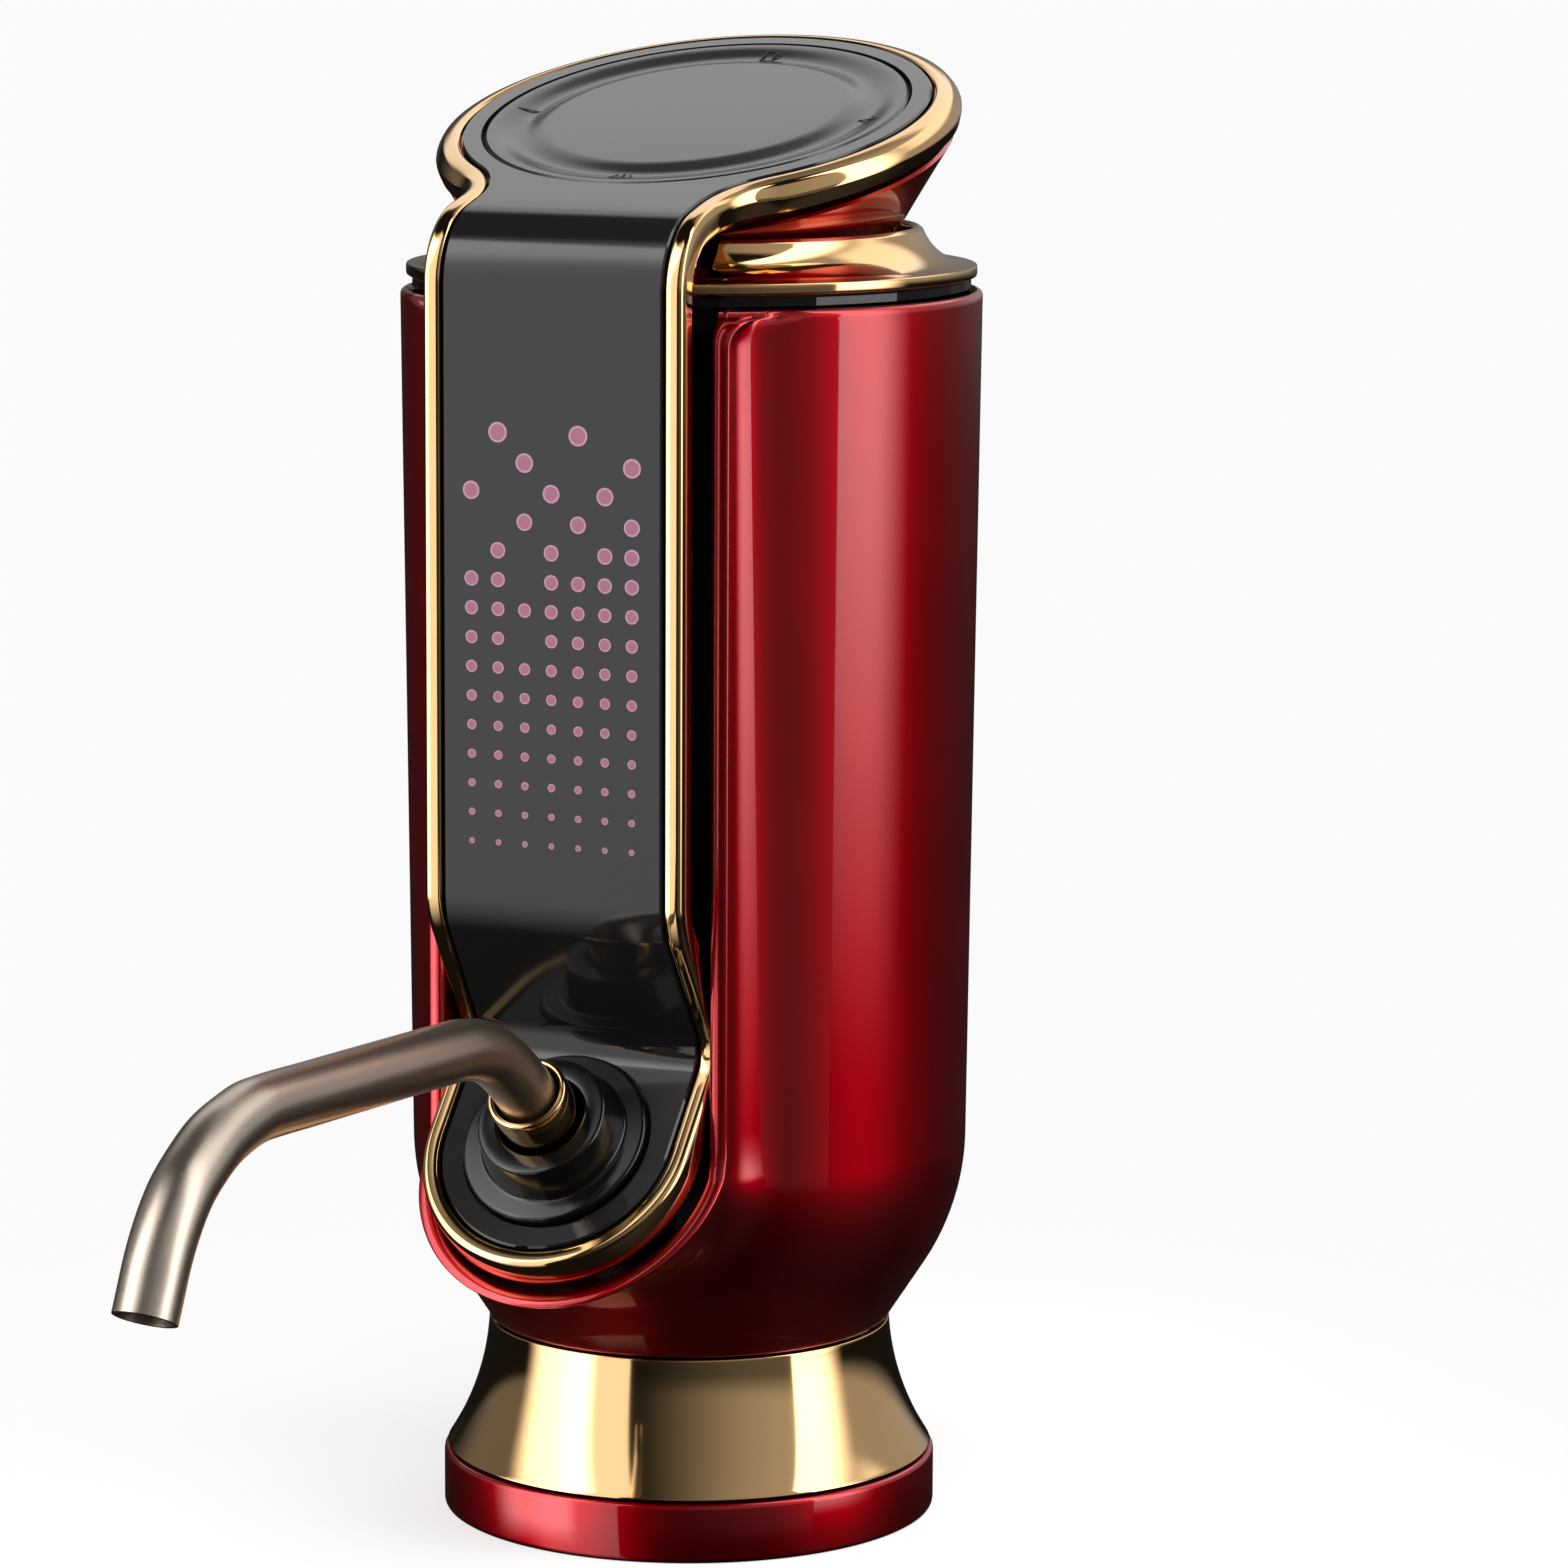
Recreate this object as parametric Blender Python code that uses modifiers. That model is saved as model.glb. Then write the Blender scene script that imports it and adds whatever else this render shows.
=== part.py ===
"""Electric wine aerator that stands on a bottle: turned body, tilted touch head, light strip and swivel spout.

Metres, +Z up. The origin lies on the body's axis at the table plane, and the strip and spout face -Y.
"""
import math

import bmesh
import bpy
from mathutils import Matrix, Vector

# Fits and cutting
FIT = 0.0003
TUBE_PLAY = 0.0004
OVERRUN = 0.003
SCREW_PLAY = 0.0003

# Base ring, skirt and bottle socket
BASE_W = 0.00828
BASE_H = 0.00625
BASE_EDGE = 0.0006
SOCKET_R = 0.0160
SLEEVE_WALL = 0.0016
CEILING_T = 0.0022
GASKET_T = 0.0015
GASKET_PLAY = 0.0004
SKIRT_H = 0.01425
SKIRT_ROOM = 0.0035
SKIRT_FOOT_INSET = 0.00028
SKIRT_TOP_LEAN = math.radians(3)
SKIRT_WALL = 0.0014
LIP_ROOM = 0.0062
STOPPER_TAPER = 0.0016
STOPPER_LIFT = 0.0003
WINE_BORE_R = 0.0021
WINE_BORE_X = -0.0048
AIR_BORE_R = 0.0013
AIR_BORE_X = 0.0046
BASE_SCREWS = 3
BASE_SCREW_INSET = 0.0032

# Body shell
BODY_H = 0.1080
BODY_RIM_R = 0.0300
BODY_TAPER = 0.0010
BODY_LOW_H = 0.0195
BODY_TURN_R = 0.0250
BODY_TURN_LIMIT_SHARE = 0.97
BODY_WALL = 0.0020
BODY_RIM_EDGE = 0.0005

# Tilted touch disc
DISC_TILT = math.radians(16.1)
DISC_FORWARD = -0.00104
DISC_RISE = 0.0180
DISC_R = 0.0243
NECK_FILLET = 0.0129

# Front strip, recess and nozzle plate
STRIP_PROUD = 0.0032
STRIP_HALF_W = 0.0120
TOP_BEND_R = 0.0080
RECESS_RISE = 0.0274
RECESS_BEND_R = 0.0080
RECESS_CORNER_R = 0.0032
NOZZLE_PROUD = 0.0031
NOZZLE_RISE = 0.0049
NOZZLE_TILT = math.radians(48)
NOZZLE_PLATE_R = 0.0123
RECESS_UP = 0.0116
PANEL_T = 0.0014

# Gold frame round the strip
FRAME_W = 0.0019
FRAME_DEPTH = 0.0030
RING_W = 0.0026
RING_DEPTH = 0.0040
NOZZLE_RING_DEPTH = 0.0040
STRIP_SECTION_SHARES = (
    (0.00, -1.00), (0.00, -0.04), (0.28, 0.10), (0.62, 0.09),
    (0.92, -0.08), (1.00, -0.40), (1.00, -0.85), (0.85, -1.00),
)
RING_SECTION_SHARES = (
    (0.00, -1.00), (0.00, -0.06), (0.16, -0.01), (0.48, -0.05),
    (0.76, -0.15), (1.00, -0.46), (0.88, -0.82), (0.45, -1.00),
)

# Hood lip of the body round the strip's slot
HOOD_HALF_W = 0.0167
HOOD_WALL = 0.0019
HOOD_SETBACK = 0.0020
HOOD_TOP_R = 0.0030
HOOD_TOP_DROP = 0.0006
HOOD_DEPTH = 0.0180
LIP_SETBACK = 0.0047
SLOT_DEPTH = 0.0110

# Tray behind the strip, with the light board
TRAY_T = 0.0041
POCKET_HALF_W = 0.0105
POCKET_RISE = 0.0068
POCKET_TOP_DROP = 0.0083
LIGHT_GUIDE_T = 0.0010
LIGHT_BOARD_T = 0.0010

# Nozzle boss and spout
STEP_ONE_R = 0.0097
STEP_ONE_H = 0.0010
STEP_TWO_R = 0.0075
STEP_TWO_TOP_R = 0.0067
STEP_TWO_H = 0.0050
STEP_EDGE = 0.0003
GLAND_R = 0.0045
GLAND_DEPTH = 0.0040
STEM_R = 0.0062
STEM_DEPTH = 0.0090
NIPPLE_R = 0.0016
NIPPLE_L = 0.0050
NIPPLE_BORE_R = 0.0010
NUT_R = 0.0090
NUT_T = 0.0023
COLLAR_R = 0.0041
COLLAR_H = 0.0044
COLLAR_SUNK = 0.0020
SPOUT_R = 0.00305
SPOUT_WALL = 0.0005
SPOUT_SEAT = 0.0035
SPOUT_OUT = 0.0836
SPOUT_END_RISE = 0.0003
SPOUT_SHOULDER_OUT = 0.0254
SPOUT_SHOULDER_RISE = 0.0135
SPOUT_CREST_OUT = 0.0629
SPOUT_CREST_RISE = 0.0153
O_RING_R = 0.00042
O_RING_DEPTHS = (0.0014, -0.0012)

# Lid, shoulder collar and head
LID_T = 0.0016
LID_FLANGE_T = 0.0008
LID_FLANGE_INSET = 0.0012
LID_SPIGOT_H = 0.0024
LID_SPIGOT_WALL = 0.0015
LID_HOLE_R = 0.0060
SHOULDER_INSET = 0.0006
SHOULDER_EDGE_H = 0.0012
SHOULDER_H = 0.0052
SHOULDER_W = 0.0062
SHOULDER_LIP_W = 0.0011
SHOULDER_TOP_LEAN = math.radians(20)
HEAD_FOOT_INSET = 0.0029
HEAD_FOOT_H = 0.0021
HEAD_RIM_OUTSIDE = 0.0019
HEAD_RIM_INSIDE = 0.0014
HEAD_WALL = 0.0018

# Touch pad, deck, switch and board in the head
PAD_INSET = 0.0023
PAD_RIM_T = 0.0011
PAD_BODY_INSET = 0.0018
PAD_BODY_T = 0.0023
PAD_FLAT_INSET = 0.0066
DISH_INSET = 0.0006
DISH_DEPTH = 0.0008
PAD_STEM_R = 0.0030
PAD_STEM_L = 0.0049
PAD_TRAVEL = 0.0005
DECK_INSET = 0.0001
DECK_DEPTH = 0.0046
DECK_FLOOR_T = 0.0014
DECK_FLANGE_T = 0.0023
DECK_TAPER_PLAY = 0.0005
DECK_POST_R = 0.0019
DECK_POST_CIRCLE_R = 0.0100
DECK_POSTS = 3
SWITCH_SIDE = 0.0062
SWITCH_T = 0.0030
SWITCH_PLUNGER_R = 0.0016
SWITCH_PLUNGER_L = 0.0011
SWITCH_SHOW = 0.0004
SWITCH_BORE_SPARE = 0.0008
TOUCH_BOARD_R = 0.0130
BOARD_T = 0.0012

# Chassis
CHASSIS_SPIGOT_H = 0.0025
CHASSIS_FLANGE_T = 0.0024
SPINE_SETBACK = 0.0124
SPINE_T = 0.0024
SPINE_HALF_W = 0.0135
SPINE_WINDOW_HALF_W = 0.0065
SPINE_WINDOW_H = 0.0165
STANDOFF_R = 0.0024
STANDOFF_X = 0.0070
STANDOFF_OUTSIDE = 0.0022
RAIL_W = 0.0032
RAIL_DEPTH = 0.0044
RAIL_GRIP = 0.0015

# Small screws
SCREW_R = 0.0008
SCREW_HEAD_R = 0.0019
SCREW_HEAD_H = 0.0011
SCREW_BITE = 0.0030

# Battery
CELL_R = 0.0091
CELL_TOP_DROP = 0.0135
CELL_CAP_R = 0.0030
CELL_CAP_H = 0.0012
CELL_X = -0.0108
CELL_RISE = 0.0100
TROUGH_WALL = 0.0010
TROUGH_BACK = 0.0010

# Air pump
MOTOR_R = 0.0098
MOTOR_L = 0.0240
MOTOR_X = 0.0109
MOTOR_SINK = 0.02425
SHAFT_R = 0.0010
SHAFT_BORE_PLAY = 0.0003
SHAFT_SUNK = 0.0070
SHAFT_OUT = 0.0062
PUMP_R = 0.0104
PUMP_WALL = 0.0018
PUMP_BASE_H = 0.0097
PUMP_FLOOR_T = 0.0016
CRANK_R = 0.0042
CRANK_T = 0.0025
CRANK_PIN_R = 0.0009
CRANK_PIN_L = 0.0018
CRANK_THROW = 0.0022
DIAPHRAGM_T = 0.0012
DIAPHRAGM_BOSS_R = 0.0030
DIAPHRAGM_BOSS_H = 0.0012
PUMP_COVER_H = 0.0052
PUMP_NIPPLE_R = 0.0010
PUMP_NIPPLE_L = 0.0040
PUMP_NIPPLE_BORE_R = 0.0006

# Tubes and check valve
WINE_TUBE_R = 0.0030
WINE_TUBE_WALL = 0.0009
AIR_TUBE_R = 0.0023
AIR_TUBE_WALL = 0.0008
AIR_LINE_X = 0.0020
AIR_LINE_Y = 0.0110
AIR_LOOP_RISE = 0.0105
VALVE_R = 0.0036
VALVE_L = 0.0120
VALVE_NIPPLE_R = 0.0011
VALVE_NIPPLE_L = 0.0040
VALVE_NIPPLE_BORE_R = 0.0006
VALVE_RISE = 0.0040

# Main board and charging port
MAIN_BOARD_HALF_W = 0.0115
MAIN_BOARD_SETBACK = 0.0128
MAIN_BOARD_DROP = 0.0070
MAIN_BOARD_TOP_DROP = 0.0175
PORT_HALF_W = 0.0047
PORT_HALF_H = 0.0018
PORT_RISE = 0.0080
PORT_BEZEL_W = 0.0012
PORT_WALL = 0.0004
PORT_SUNK = 0.0006

# How finely round shapes are cut
ROUND_STEPS = 36
SMALL_STEPS = 12
DISC_STEPS = 15
NECK_STEPS = 4
BEND_STEPS = 4
QUARTER_STEPS = 7
SPOUT_RESOLUTION = 2
TUBE_RESOLUTION = 1

# Heights that follow from the sizes above
WAIST_Z = BASE_H + SKIRT_H
RIM_Z = WAIST_Z + BODY_H
LOW_Z = WAIST_Z + BODY_LOW_H
CEILING_Z = WAIST_Z - FIT - CEILING_T
GASKET_Z = CEILING_Z - FIT - GASKET_T
LID_FLANGE_Z = RIM_Z + FIT
LID_TOP_Z = LID_FLANGE_Z + LID_FLANGE_T
SHOULDER_Z = LID_TOP_Z + FIT
CHASSIS_FLANGE_Z = WAIST_Z + CHASSIS_SPIGOT_H
CHASSIS_TOP_Z = CHASSIS_FLANGE_Z + CHASSIS_FLANGE_T

# Places that follow from the sizes above
SLEEVE_R = SOCKET_R + SLEEVE_WALL
BASE_R = SLEEVE_R + BASE_W
SKIRT_TOP_R = SLEEVE_R + SKIRT_ROOM
SKIRT_FLARE = BASE_R - SKIRT_FOOT_INSET - SKIRT_TOP_R
STOPPER_TOP_R = SOCKET_R - LIP_ROOM
STOPPER_TIP_R = STOPPER_TOP_R - STOPPER_TAPER
BASE_SCREW_CIRCLE_R = SOCKET_R - BASE_SCREW_INSET
BODY_LOW_R = BODY_RIM_R - BODY_TAPER
DISC_Z = RIM_Z + DISC_RISE
STRIP_FRONT = BODY_RIM_R + STRIP_PROUD
RECESS_TOP_Z = LOW_Z + RECESS_RISE
NOZZLE_FORWARD = BODY_LOW_R + NOZZLE_PROUD
NOZZLE_Z = LOW_Z + NOZZLE_RISE
HOOD_FRONT = BODY_RIM_R - HOOD_SETBACK
HOOD_ROOT = BODY_RIM_R - HOOD_DEPTH
SLOT_ROOT = BODY_RIM_R - SLOT_DEPTH
POCKET_LOW_Z = RECESS_TOP_Z + POCKET_RISE
POCKET_H = RIM_Z - POCKET_TOP_DROP - POCKET_LOW_Z
SPOUT_REACH = NOZZLE_FORWARD + SPOUT_OUT
SPOUT_END_Z = NOZZLE_Z + SPOUT_END_RISE
SPOUT_SHOULDER = NOZZLE_FORWARD + SPOUT_SHOULDER_OUT
SPOUT_SHOULDER_Z = NOZZLE_Z + SPOUT_SHOULDER_RISE
SPOUT_CREST = NOZZLE_FORWARD + SPOUT_CREST_OUT
SPOUT_CREST_Z = NOZZLE_Z + SPOUT_CREST_RISE
SHOULDER_TOP_R = BODY_RIM_R - SHOULDER_W
SHOULDER_BORE_R = SHOULDER_TOP_R - SHOULDER_LIP_W
HEAD_FOOT_R = SHOULDER_BORE_R - HEAD_FOOT_INSET
HEAD_RIM_R = DISC_R + HEAD_RIM_OUTSIDE
HEAD_RIM_BORE_R = DISC_R - HEAD_RIM_INSIDE
PAD_R = DISC_R - PAD_INSET
PAD_BODY_R = PAD_R - PAD_BODY_INSET
PAD_FLAT_R = PAD_R - PAD_FLAT_INSET
DISH_R = PAD_R - DISH_INSET
DECK_R = DISC_R - DECK_INSET
SPINE_FRONT = BODY_RIM_R - SPINE_SETBACK
CELL_BOTTOM_Z = LOW_Z + CELL_RISE
CELL_L = RIM_Z - CELL_TOP_DROP - CELL_BOTTOM_Z
MOTOR_BOTTOM_Z = (LOW_Z + RIM_Z) / 2 - MOTOR_SINK
VALVE_Z = MOTOR_BOTTOM_Z + VALVE_RISE
MAIN_BOARD_Y = BODY_RIM_R - MAIN_BOARD_SETBACK
MAIN_BOARD_LOW_Z = LOW_Z - MAIN_BOARD_DROP
MAIN_BOARD_H = RIM_Z - MAIN_BOARD_TOP_DROP - MAIN_BOARD_LOW_Z
PORT_Z = LOW_Z + PORT_RISE
SPINE_BACK_Y = -SPINE_FRONT + SPINE_T

DISC_CENTRE = Vector((0, -DISC_FORWARD, DISC_Z))
DISC_NORMAL = Vector((0, -math.sin(DISC_TILT), math.cos(DISC_TILT)))
NOZZLE_CENTRE = Vector((0, -NOZZLE_FORWARD, NOZZLE_Z))
NOZZLE_AXIS = Vector((0, -math.sin(NOZZLE_TILT), math.cos(NOZZLE_TILT)))
NOZZLE_UP = Vector((0, math.cos(NOZZLE_TILT), math.sin(NOZZLE_TILT)))
LIP_CENTRE = NOZZLE_CENTRE - NOZZLE_AXIS * LIP_SETBACK


def tilted_frame(centre, tilt):
    """Placement whose local Z leans from +Z towards the front by tilt."""
    return Matrix.Translation(centre) @ Matrix.Rotation(tilt, 4, "X")


DISC_FRAME = tilted_frame(DISC_CENTRE, DISC_TILT)
NOZZLE_FRAME = tilted_frame(NOZZLE_CENTRE, NOZZLE_TILT)


def empty_scene():
    """Remove whatever the file opened with."""
    for item in list(bpy.data.objects):
        bpy.data.objects.remove(item, do_unlink=True)


def collection(name):
    """New collection in the scene."""
    made = bpy.data.collections.new(name)
    bpy.context.scene.collection.children.link(made)
    return made


def material(name, colour, roughness, metallic=0.0):
    """Principled material for one piece."""
    made = bpy.data.materials.new(name)
    made.use_nodes = True
    shader = made.node_tree.nodes["Principled BSDF"]
    shader.inputs["Base Color"].default_value = (*colour, 1.0)
    shader.inputs["Roughness"].default_value = roughness
    shader.inputs["Metallic"].default_value = metallic
    return made


CANDY_RED = ((0.42, 0.004, 0.012), 0.18, 0.55)
MIRROR_GOLD = ((0.83, 0.56, 0.25), 0.10, 1.0)
BLACK_GLOSS = ((0.012, 0.012, 0.013), 0.12, 0.0)
GREY_SATIN = ((0.11, 0.11, 0.11), 0.38, 0.0)
STAINLESS = ((0.55, 0.51, 0.47), 0.28, 1.0)
BLACK_PLASTIC = ((0.02, 0.02, 0.02), 0.5, 0.0)
SILICONE = ((0.70, 0.70, 0.68), 0.5, 0.0)
BLACK_RUBBER = ((0.015, 0.015, 0.015), 0.7, 0.0)
BOARD_GREEN = ((0.01, 0.10, 0.04), 0.45, 0.0)
STEEL = ((0.60, 0.60, 0.60), 0.3, 1.0)
CELL_WRAP = ((0.03, 0.12, 0.30), 0.35, 0.0)
MILKY = ((0.75, 0.72, 0.72), 0.5, 0.0)


def new_object(name, mesh, finish):
    """Object for a piece of the aerator, with its own material."""
    made = bpy.data.objects.new(name, mesh)
    PARTS.objects.link(made)
    mesh.materials.clear()
    mesh.materials.append(material(name + "_finish", *finish))
    return made


def helper(mesh):
    """Hidden object that only cuts or joins another."""
    made = bpy.data.objects.new("cutter", mesh)
    CUTTERS.objects.link(made)
    made.hide_render = True
    made.display_type = "WIRE"
    return made


def operate(target, tool, operation="DIFFERENCE"):
    """Cut, join or intersect target with tool."""
    step = target.modifiers.new(operation.lower(), "BOOLEAN")
    step.operation = operation
    step.object = tool
    step.solver = "EXACT"


def box_mesh(low, high):
    """Box between two corners."""
    low = Vector(low)
    high = Vector(high)
    shape = bmesh.new()
    bmesh.ops.create_cube(shape, size=1)
    size = Matrix.Diagonal((*(high - low), 1))
    bmesh.ops.transform(shape, matrix=Matrix.Translation((low + high) / 2) @ size, verts=shape.verts)
    return finished_mesh(shape)


def rod_mesh(start, end, radius, steps=SMALL_STEPS):
    """Round bar from start to end."""
    start = Vector(start)
    end = Vector(end)
    along = end - start
    shape = bmesh.new()
    bmesh.ops.create_cone(
        shape, cap_ends=True, segments=steps, radius1=radius, radius2=radius, depth=along.length
    )
    turn = along.to_track_quat("Z", "Y").to_matrix().to_4x4()
    bmesh.ops.transform(shape, matrix=Matrix.Translation((start + end) / 2) @ turn, verts=shape.verts)
    return finished_mesh(shape)


def finished_mesh(shape):
    """Mesh from a bmesh, with its faces pointing out."""
    bmesh.ops.recalc_face_normals(shape, faces=shape.faces)
    mesh = bpy.data.meshes.new("shape")
    shape.to_mesh(mesh)
    shape.free()
    return mesh


def loft_mesh(rings, closed=False):
    """Skin over rings of matching points, capped at the ends unless it closes on itself."""
    shape = bmesh.new()
    grid = [[shape.verts.new(point) for point in ring] for ring in rings]
    following = grid[1:] + grid[:1] if closed else grid[1:]
    for near, far in zip(grid, following):
        for i in range(len(near)):
            j = (i + 1) % len(near)
            shape.faces.new((near[i], near[j], far[j], far[i]))
    if not closed:
        shape.faces.new(grid[0])
        shape.faces.new(grid[-1])
    return finished_mesh(shape)


def prism_mesh(outline, low, high, place):
    """Flat outline extruded from low to high; place(a, b, c) gives the point."""
    return loft_mesh([[place(a, b, c) for a, b in outline] for c in (low, high)])


def turned_mesh(profile, steps=ROUND_STEPS):
    """Solid of revolution about Z from a closed outline of (radius, height) points."""
    points = list(profile)
    pairs = list(zip(points, points[1:] + points[:1]))
    area = sum(a[0] * b[1] - b[0] * a[1] for a, b in pairs)
    if area > 0:
        points.reverse()
        pairs = list(zip(points, points[1:] + points[:1]))
    mesh = bpy.data.meshes.new("profile")
    edges = [
        (i, (i + 1) % len(points)) for i, (a, b) in enumerate(pairs) if a[0] > 0 or b[0] > 0
    ]
    mesh.from_pydata([(r, 0, z) for r, z in points], edges, [])
    spinner = bpy.data.objects.new("spinner", mesh)
    CUTTERS.objects.link(spinner)
    turn = spinner.modifiers.new("turn", "SCREW")
    turn.steps = steps
    turn.render_steps = steps
    turn.use_merge_vertices = True
    turn.merge_threshold = OVERRUN / 1000
    made = baked(spinner)
    made.shade_smooth()
    made.set_sharp_from_angle(angle=math.radians(35))
    return made


def baked(item):
    """Mesh of an object with its modifiers applied; the object is removed."""
    bpy.context.view_layer.update()
    evaluated = item.evaluated_get(bpy.context.evaluated_depsgraph_get())
    mesh = bpy.data.meshes.new_from_object(evaluated)
    mesh.transform(item.matrix_world)
    bpy.data.objects.remove(item, do_unlink=True)
    return mesh


def turned(name, profile, finish, frame=None, steps=ROUND_STEPS):
    """Turned piece, placed by its frame."""
    made = new_object(name, turned_mesh(profile, steps), finish)
    if frame is not None:
        made.matrix_world = frame
    return made


def turned_helper(profile, frame=None, steps=ROUND_STEPS):
    """Turned cutter, placed by its frame."""
    made = helper(turned_mesh(profile, steps))
    if frame is not None:
        made.matrix_world = frame
    return made


def tube_mesh(points, radius, wall, resolution=TUBE_RESOLUTION):
    """Hollow tube of one wall thickness along a smooth curve through the points."""
    curve = bpy.data.curves.new("tube", "CURVE")
    curve.dimensions = "3D"
    curve.bevel_depth = radius
    curve.bevel_resolution = resolution
    line = curve.splines.new("POLY")
    line.points.add(len(points) - 1)
    for slot, point in zip(line.points, points):
        slot.co = (*point, 1)
    carrier = bpy.data.objects.new("tube", curve)
    CUTTERS.objects.link(carrier)
    surface = baked(carrier)
    shell = bpy.data.objects.new("shell", surface)
    CUTTERS.objects.link(shell)
    skin = shell.modifiers.new("wall", "SOLIDIFY")
    skin.thickness = wall
    skin.offset = -1
    shape = bmesh.new()
    shape.from_mesh(baked(shell))
    return finished_mesh(shape)


def smooth_points(anchors, count):
    """Points at even steps on a smooth curve through the anchors."""
    anchors = [Vector(a) for a in anchors]
    last = len(anchors) - 1
    ways = [(anchors[min(i + 1, last)] - anchors[max(i - 1, 0)]).normalized() for i in range(last + 1)]
    fine = []
    for i in range(last):
        start, end = anchors[i], anchors[i + 1]
        span = (end - start).length
        for k in range(count):
            t = k / count
            fine.append(
                start * (2 * t**3 - 3 * t**2 + 1)
                + end * (3 * t**2 - 2 * t**3)
                + ways[i] * span * (t**3 - 2 * t**2 + t)
                + ways[i + 1] * span * (t**3 - t**2)
            )
    fine.append(anchors[-1])
    return even_points(fine, count * last // 2)


def even_points(line, count):
    """The line's points, spaced evenly along it."""
    lengths = [0.0]
    for a, b in zip(line, line[1:]):
        lengths.append(lengths[-1] + (b - a).length)
    made = []
    j = 0
    for i in range(count + 1):
        want = lengths[-1] * i / count
        while j < len(line) - 2 and lengths[j + 1] < want:
            j += 1
        made.append(line[j].lerp(line[j + 1], (want - lengths[j]) / (lengths[j + 1] - lengths[j])))
    return made


def arc_to(start, lean, end, steps):
    """Arc in (radius, height) from start, leaving at a lean from the vertical, to end."""
    across = end[0] - start[0]
    down = start[1] - end[1]
    turn = 2 * (math.atan2(across, down) - lean)
    chord = math.hypot(across, down)
    radius = chord / (2 * math.sin(turn / 2))
    made = []
    for i in range(steps + 1):
        angle = lean + turn * i / steps
        made.append((
            start[0] + radius * (math.cos(lean) - math.cos(angle)),
            start[1] - radius * (math.sin(angle) - math.sin(lean)),
        ))
    return made


def wall_taper():
    """Lean of the body's straight wall from the vertical."""
    return math.atan2(BODY_RIM_R - BODY_LOW_R, BODY_H - BODY_LOW_H)


def fullest_turn(across, down):
    """Largest radius that starts upright and still reaches a point across and down from its start."""
    return (across**2 + down**2) / (2 * across)


def wall_profile(inset):
    """Body wall from the rim down to the waist as (radius, z), moved inwards by inset."""
    taper = wall_taper()
    waist_r = SKIRT_TOP_R - FIT / 2
    turn_r = min(BODY_TURN_R, fullest_turn(BODY_LOW_R - waist_r, BODY_LOW_H) * BODY_TURN_LIMIT_SHARE)
    centre = (BODY_LOW_R - turn_r * math.cos(taper), LOW_Z + turn_r * math.sin(taper))
    reach = (waist_r - centre[0], WAIST_Z - centre[1])
    cone = -math.atan2(reach[1], reach[0]) - math.acos(turn_r / math.hypot(*reach))
    points = [(BODY_RIM_R - inset, RIM_Z)]
    for i in range(BEND_STEPS + 1):
        angle = taper + (cone - taper) * i / BEND_STEPS
        radius = turn_r - inset
        points.append((centre[0] + radius * math.cos(angle), centre[1] - radius * math.sin(angle)))
    points.append((waist_r - inset / math.cos(cone), WAIST_Z))
    return points


def inner_wall_r(z):
    """Radius of the body's inner wall at a height."""
    points = wall_profile(BODY_WALL)
    for high, low in zip(points, points[1:]):
        if low[1] <= z <= high[1]:
            share = (z - low[1]) / (high[1] - low[1])
            return low[0] + (high[0] - low[0]) * share
    return points[0][0]


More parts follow.
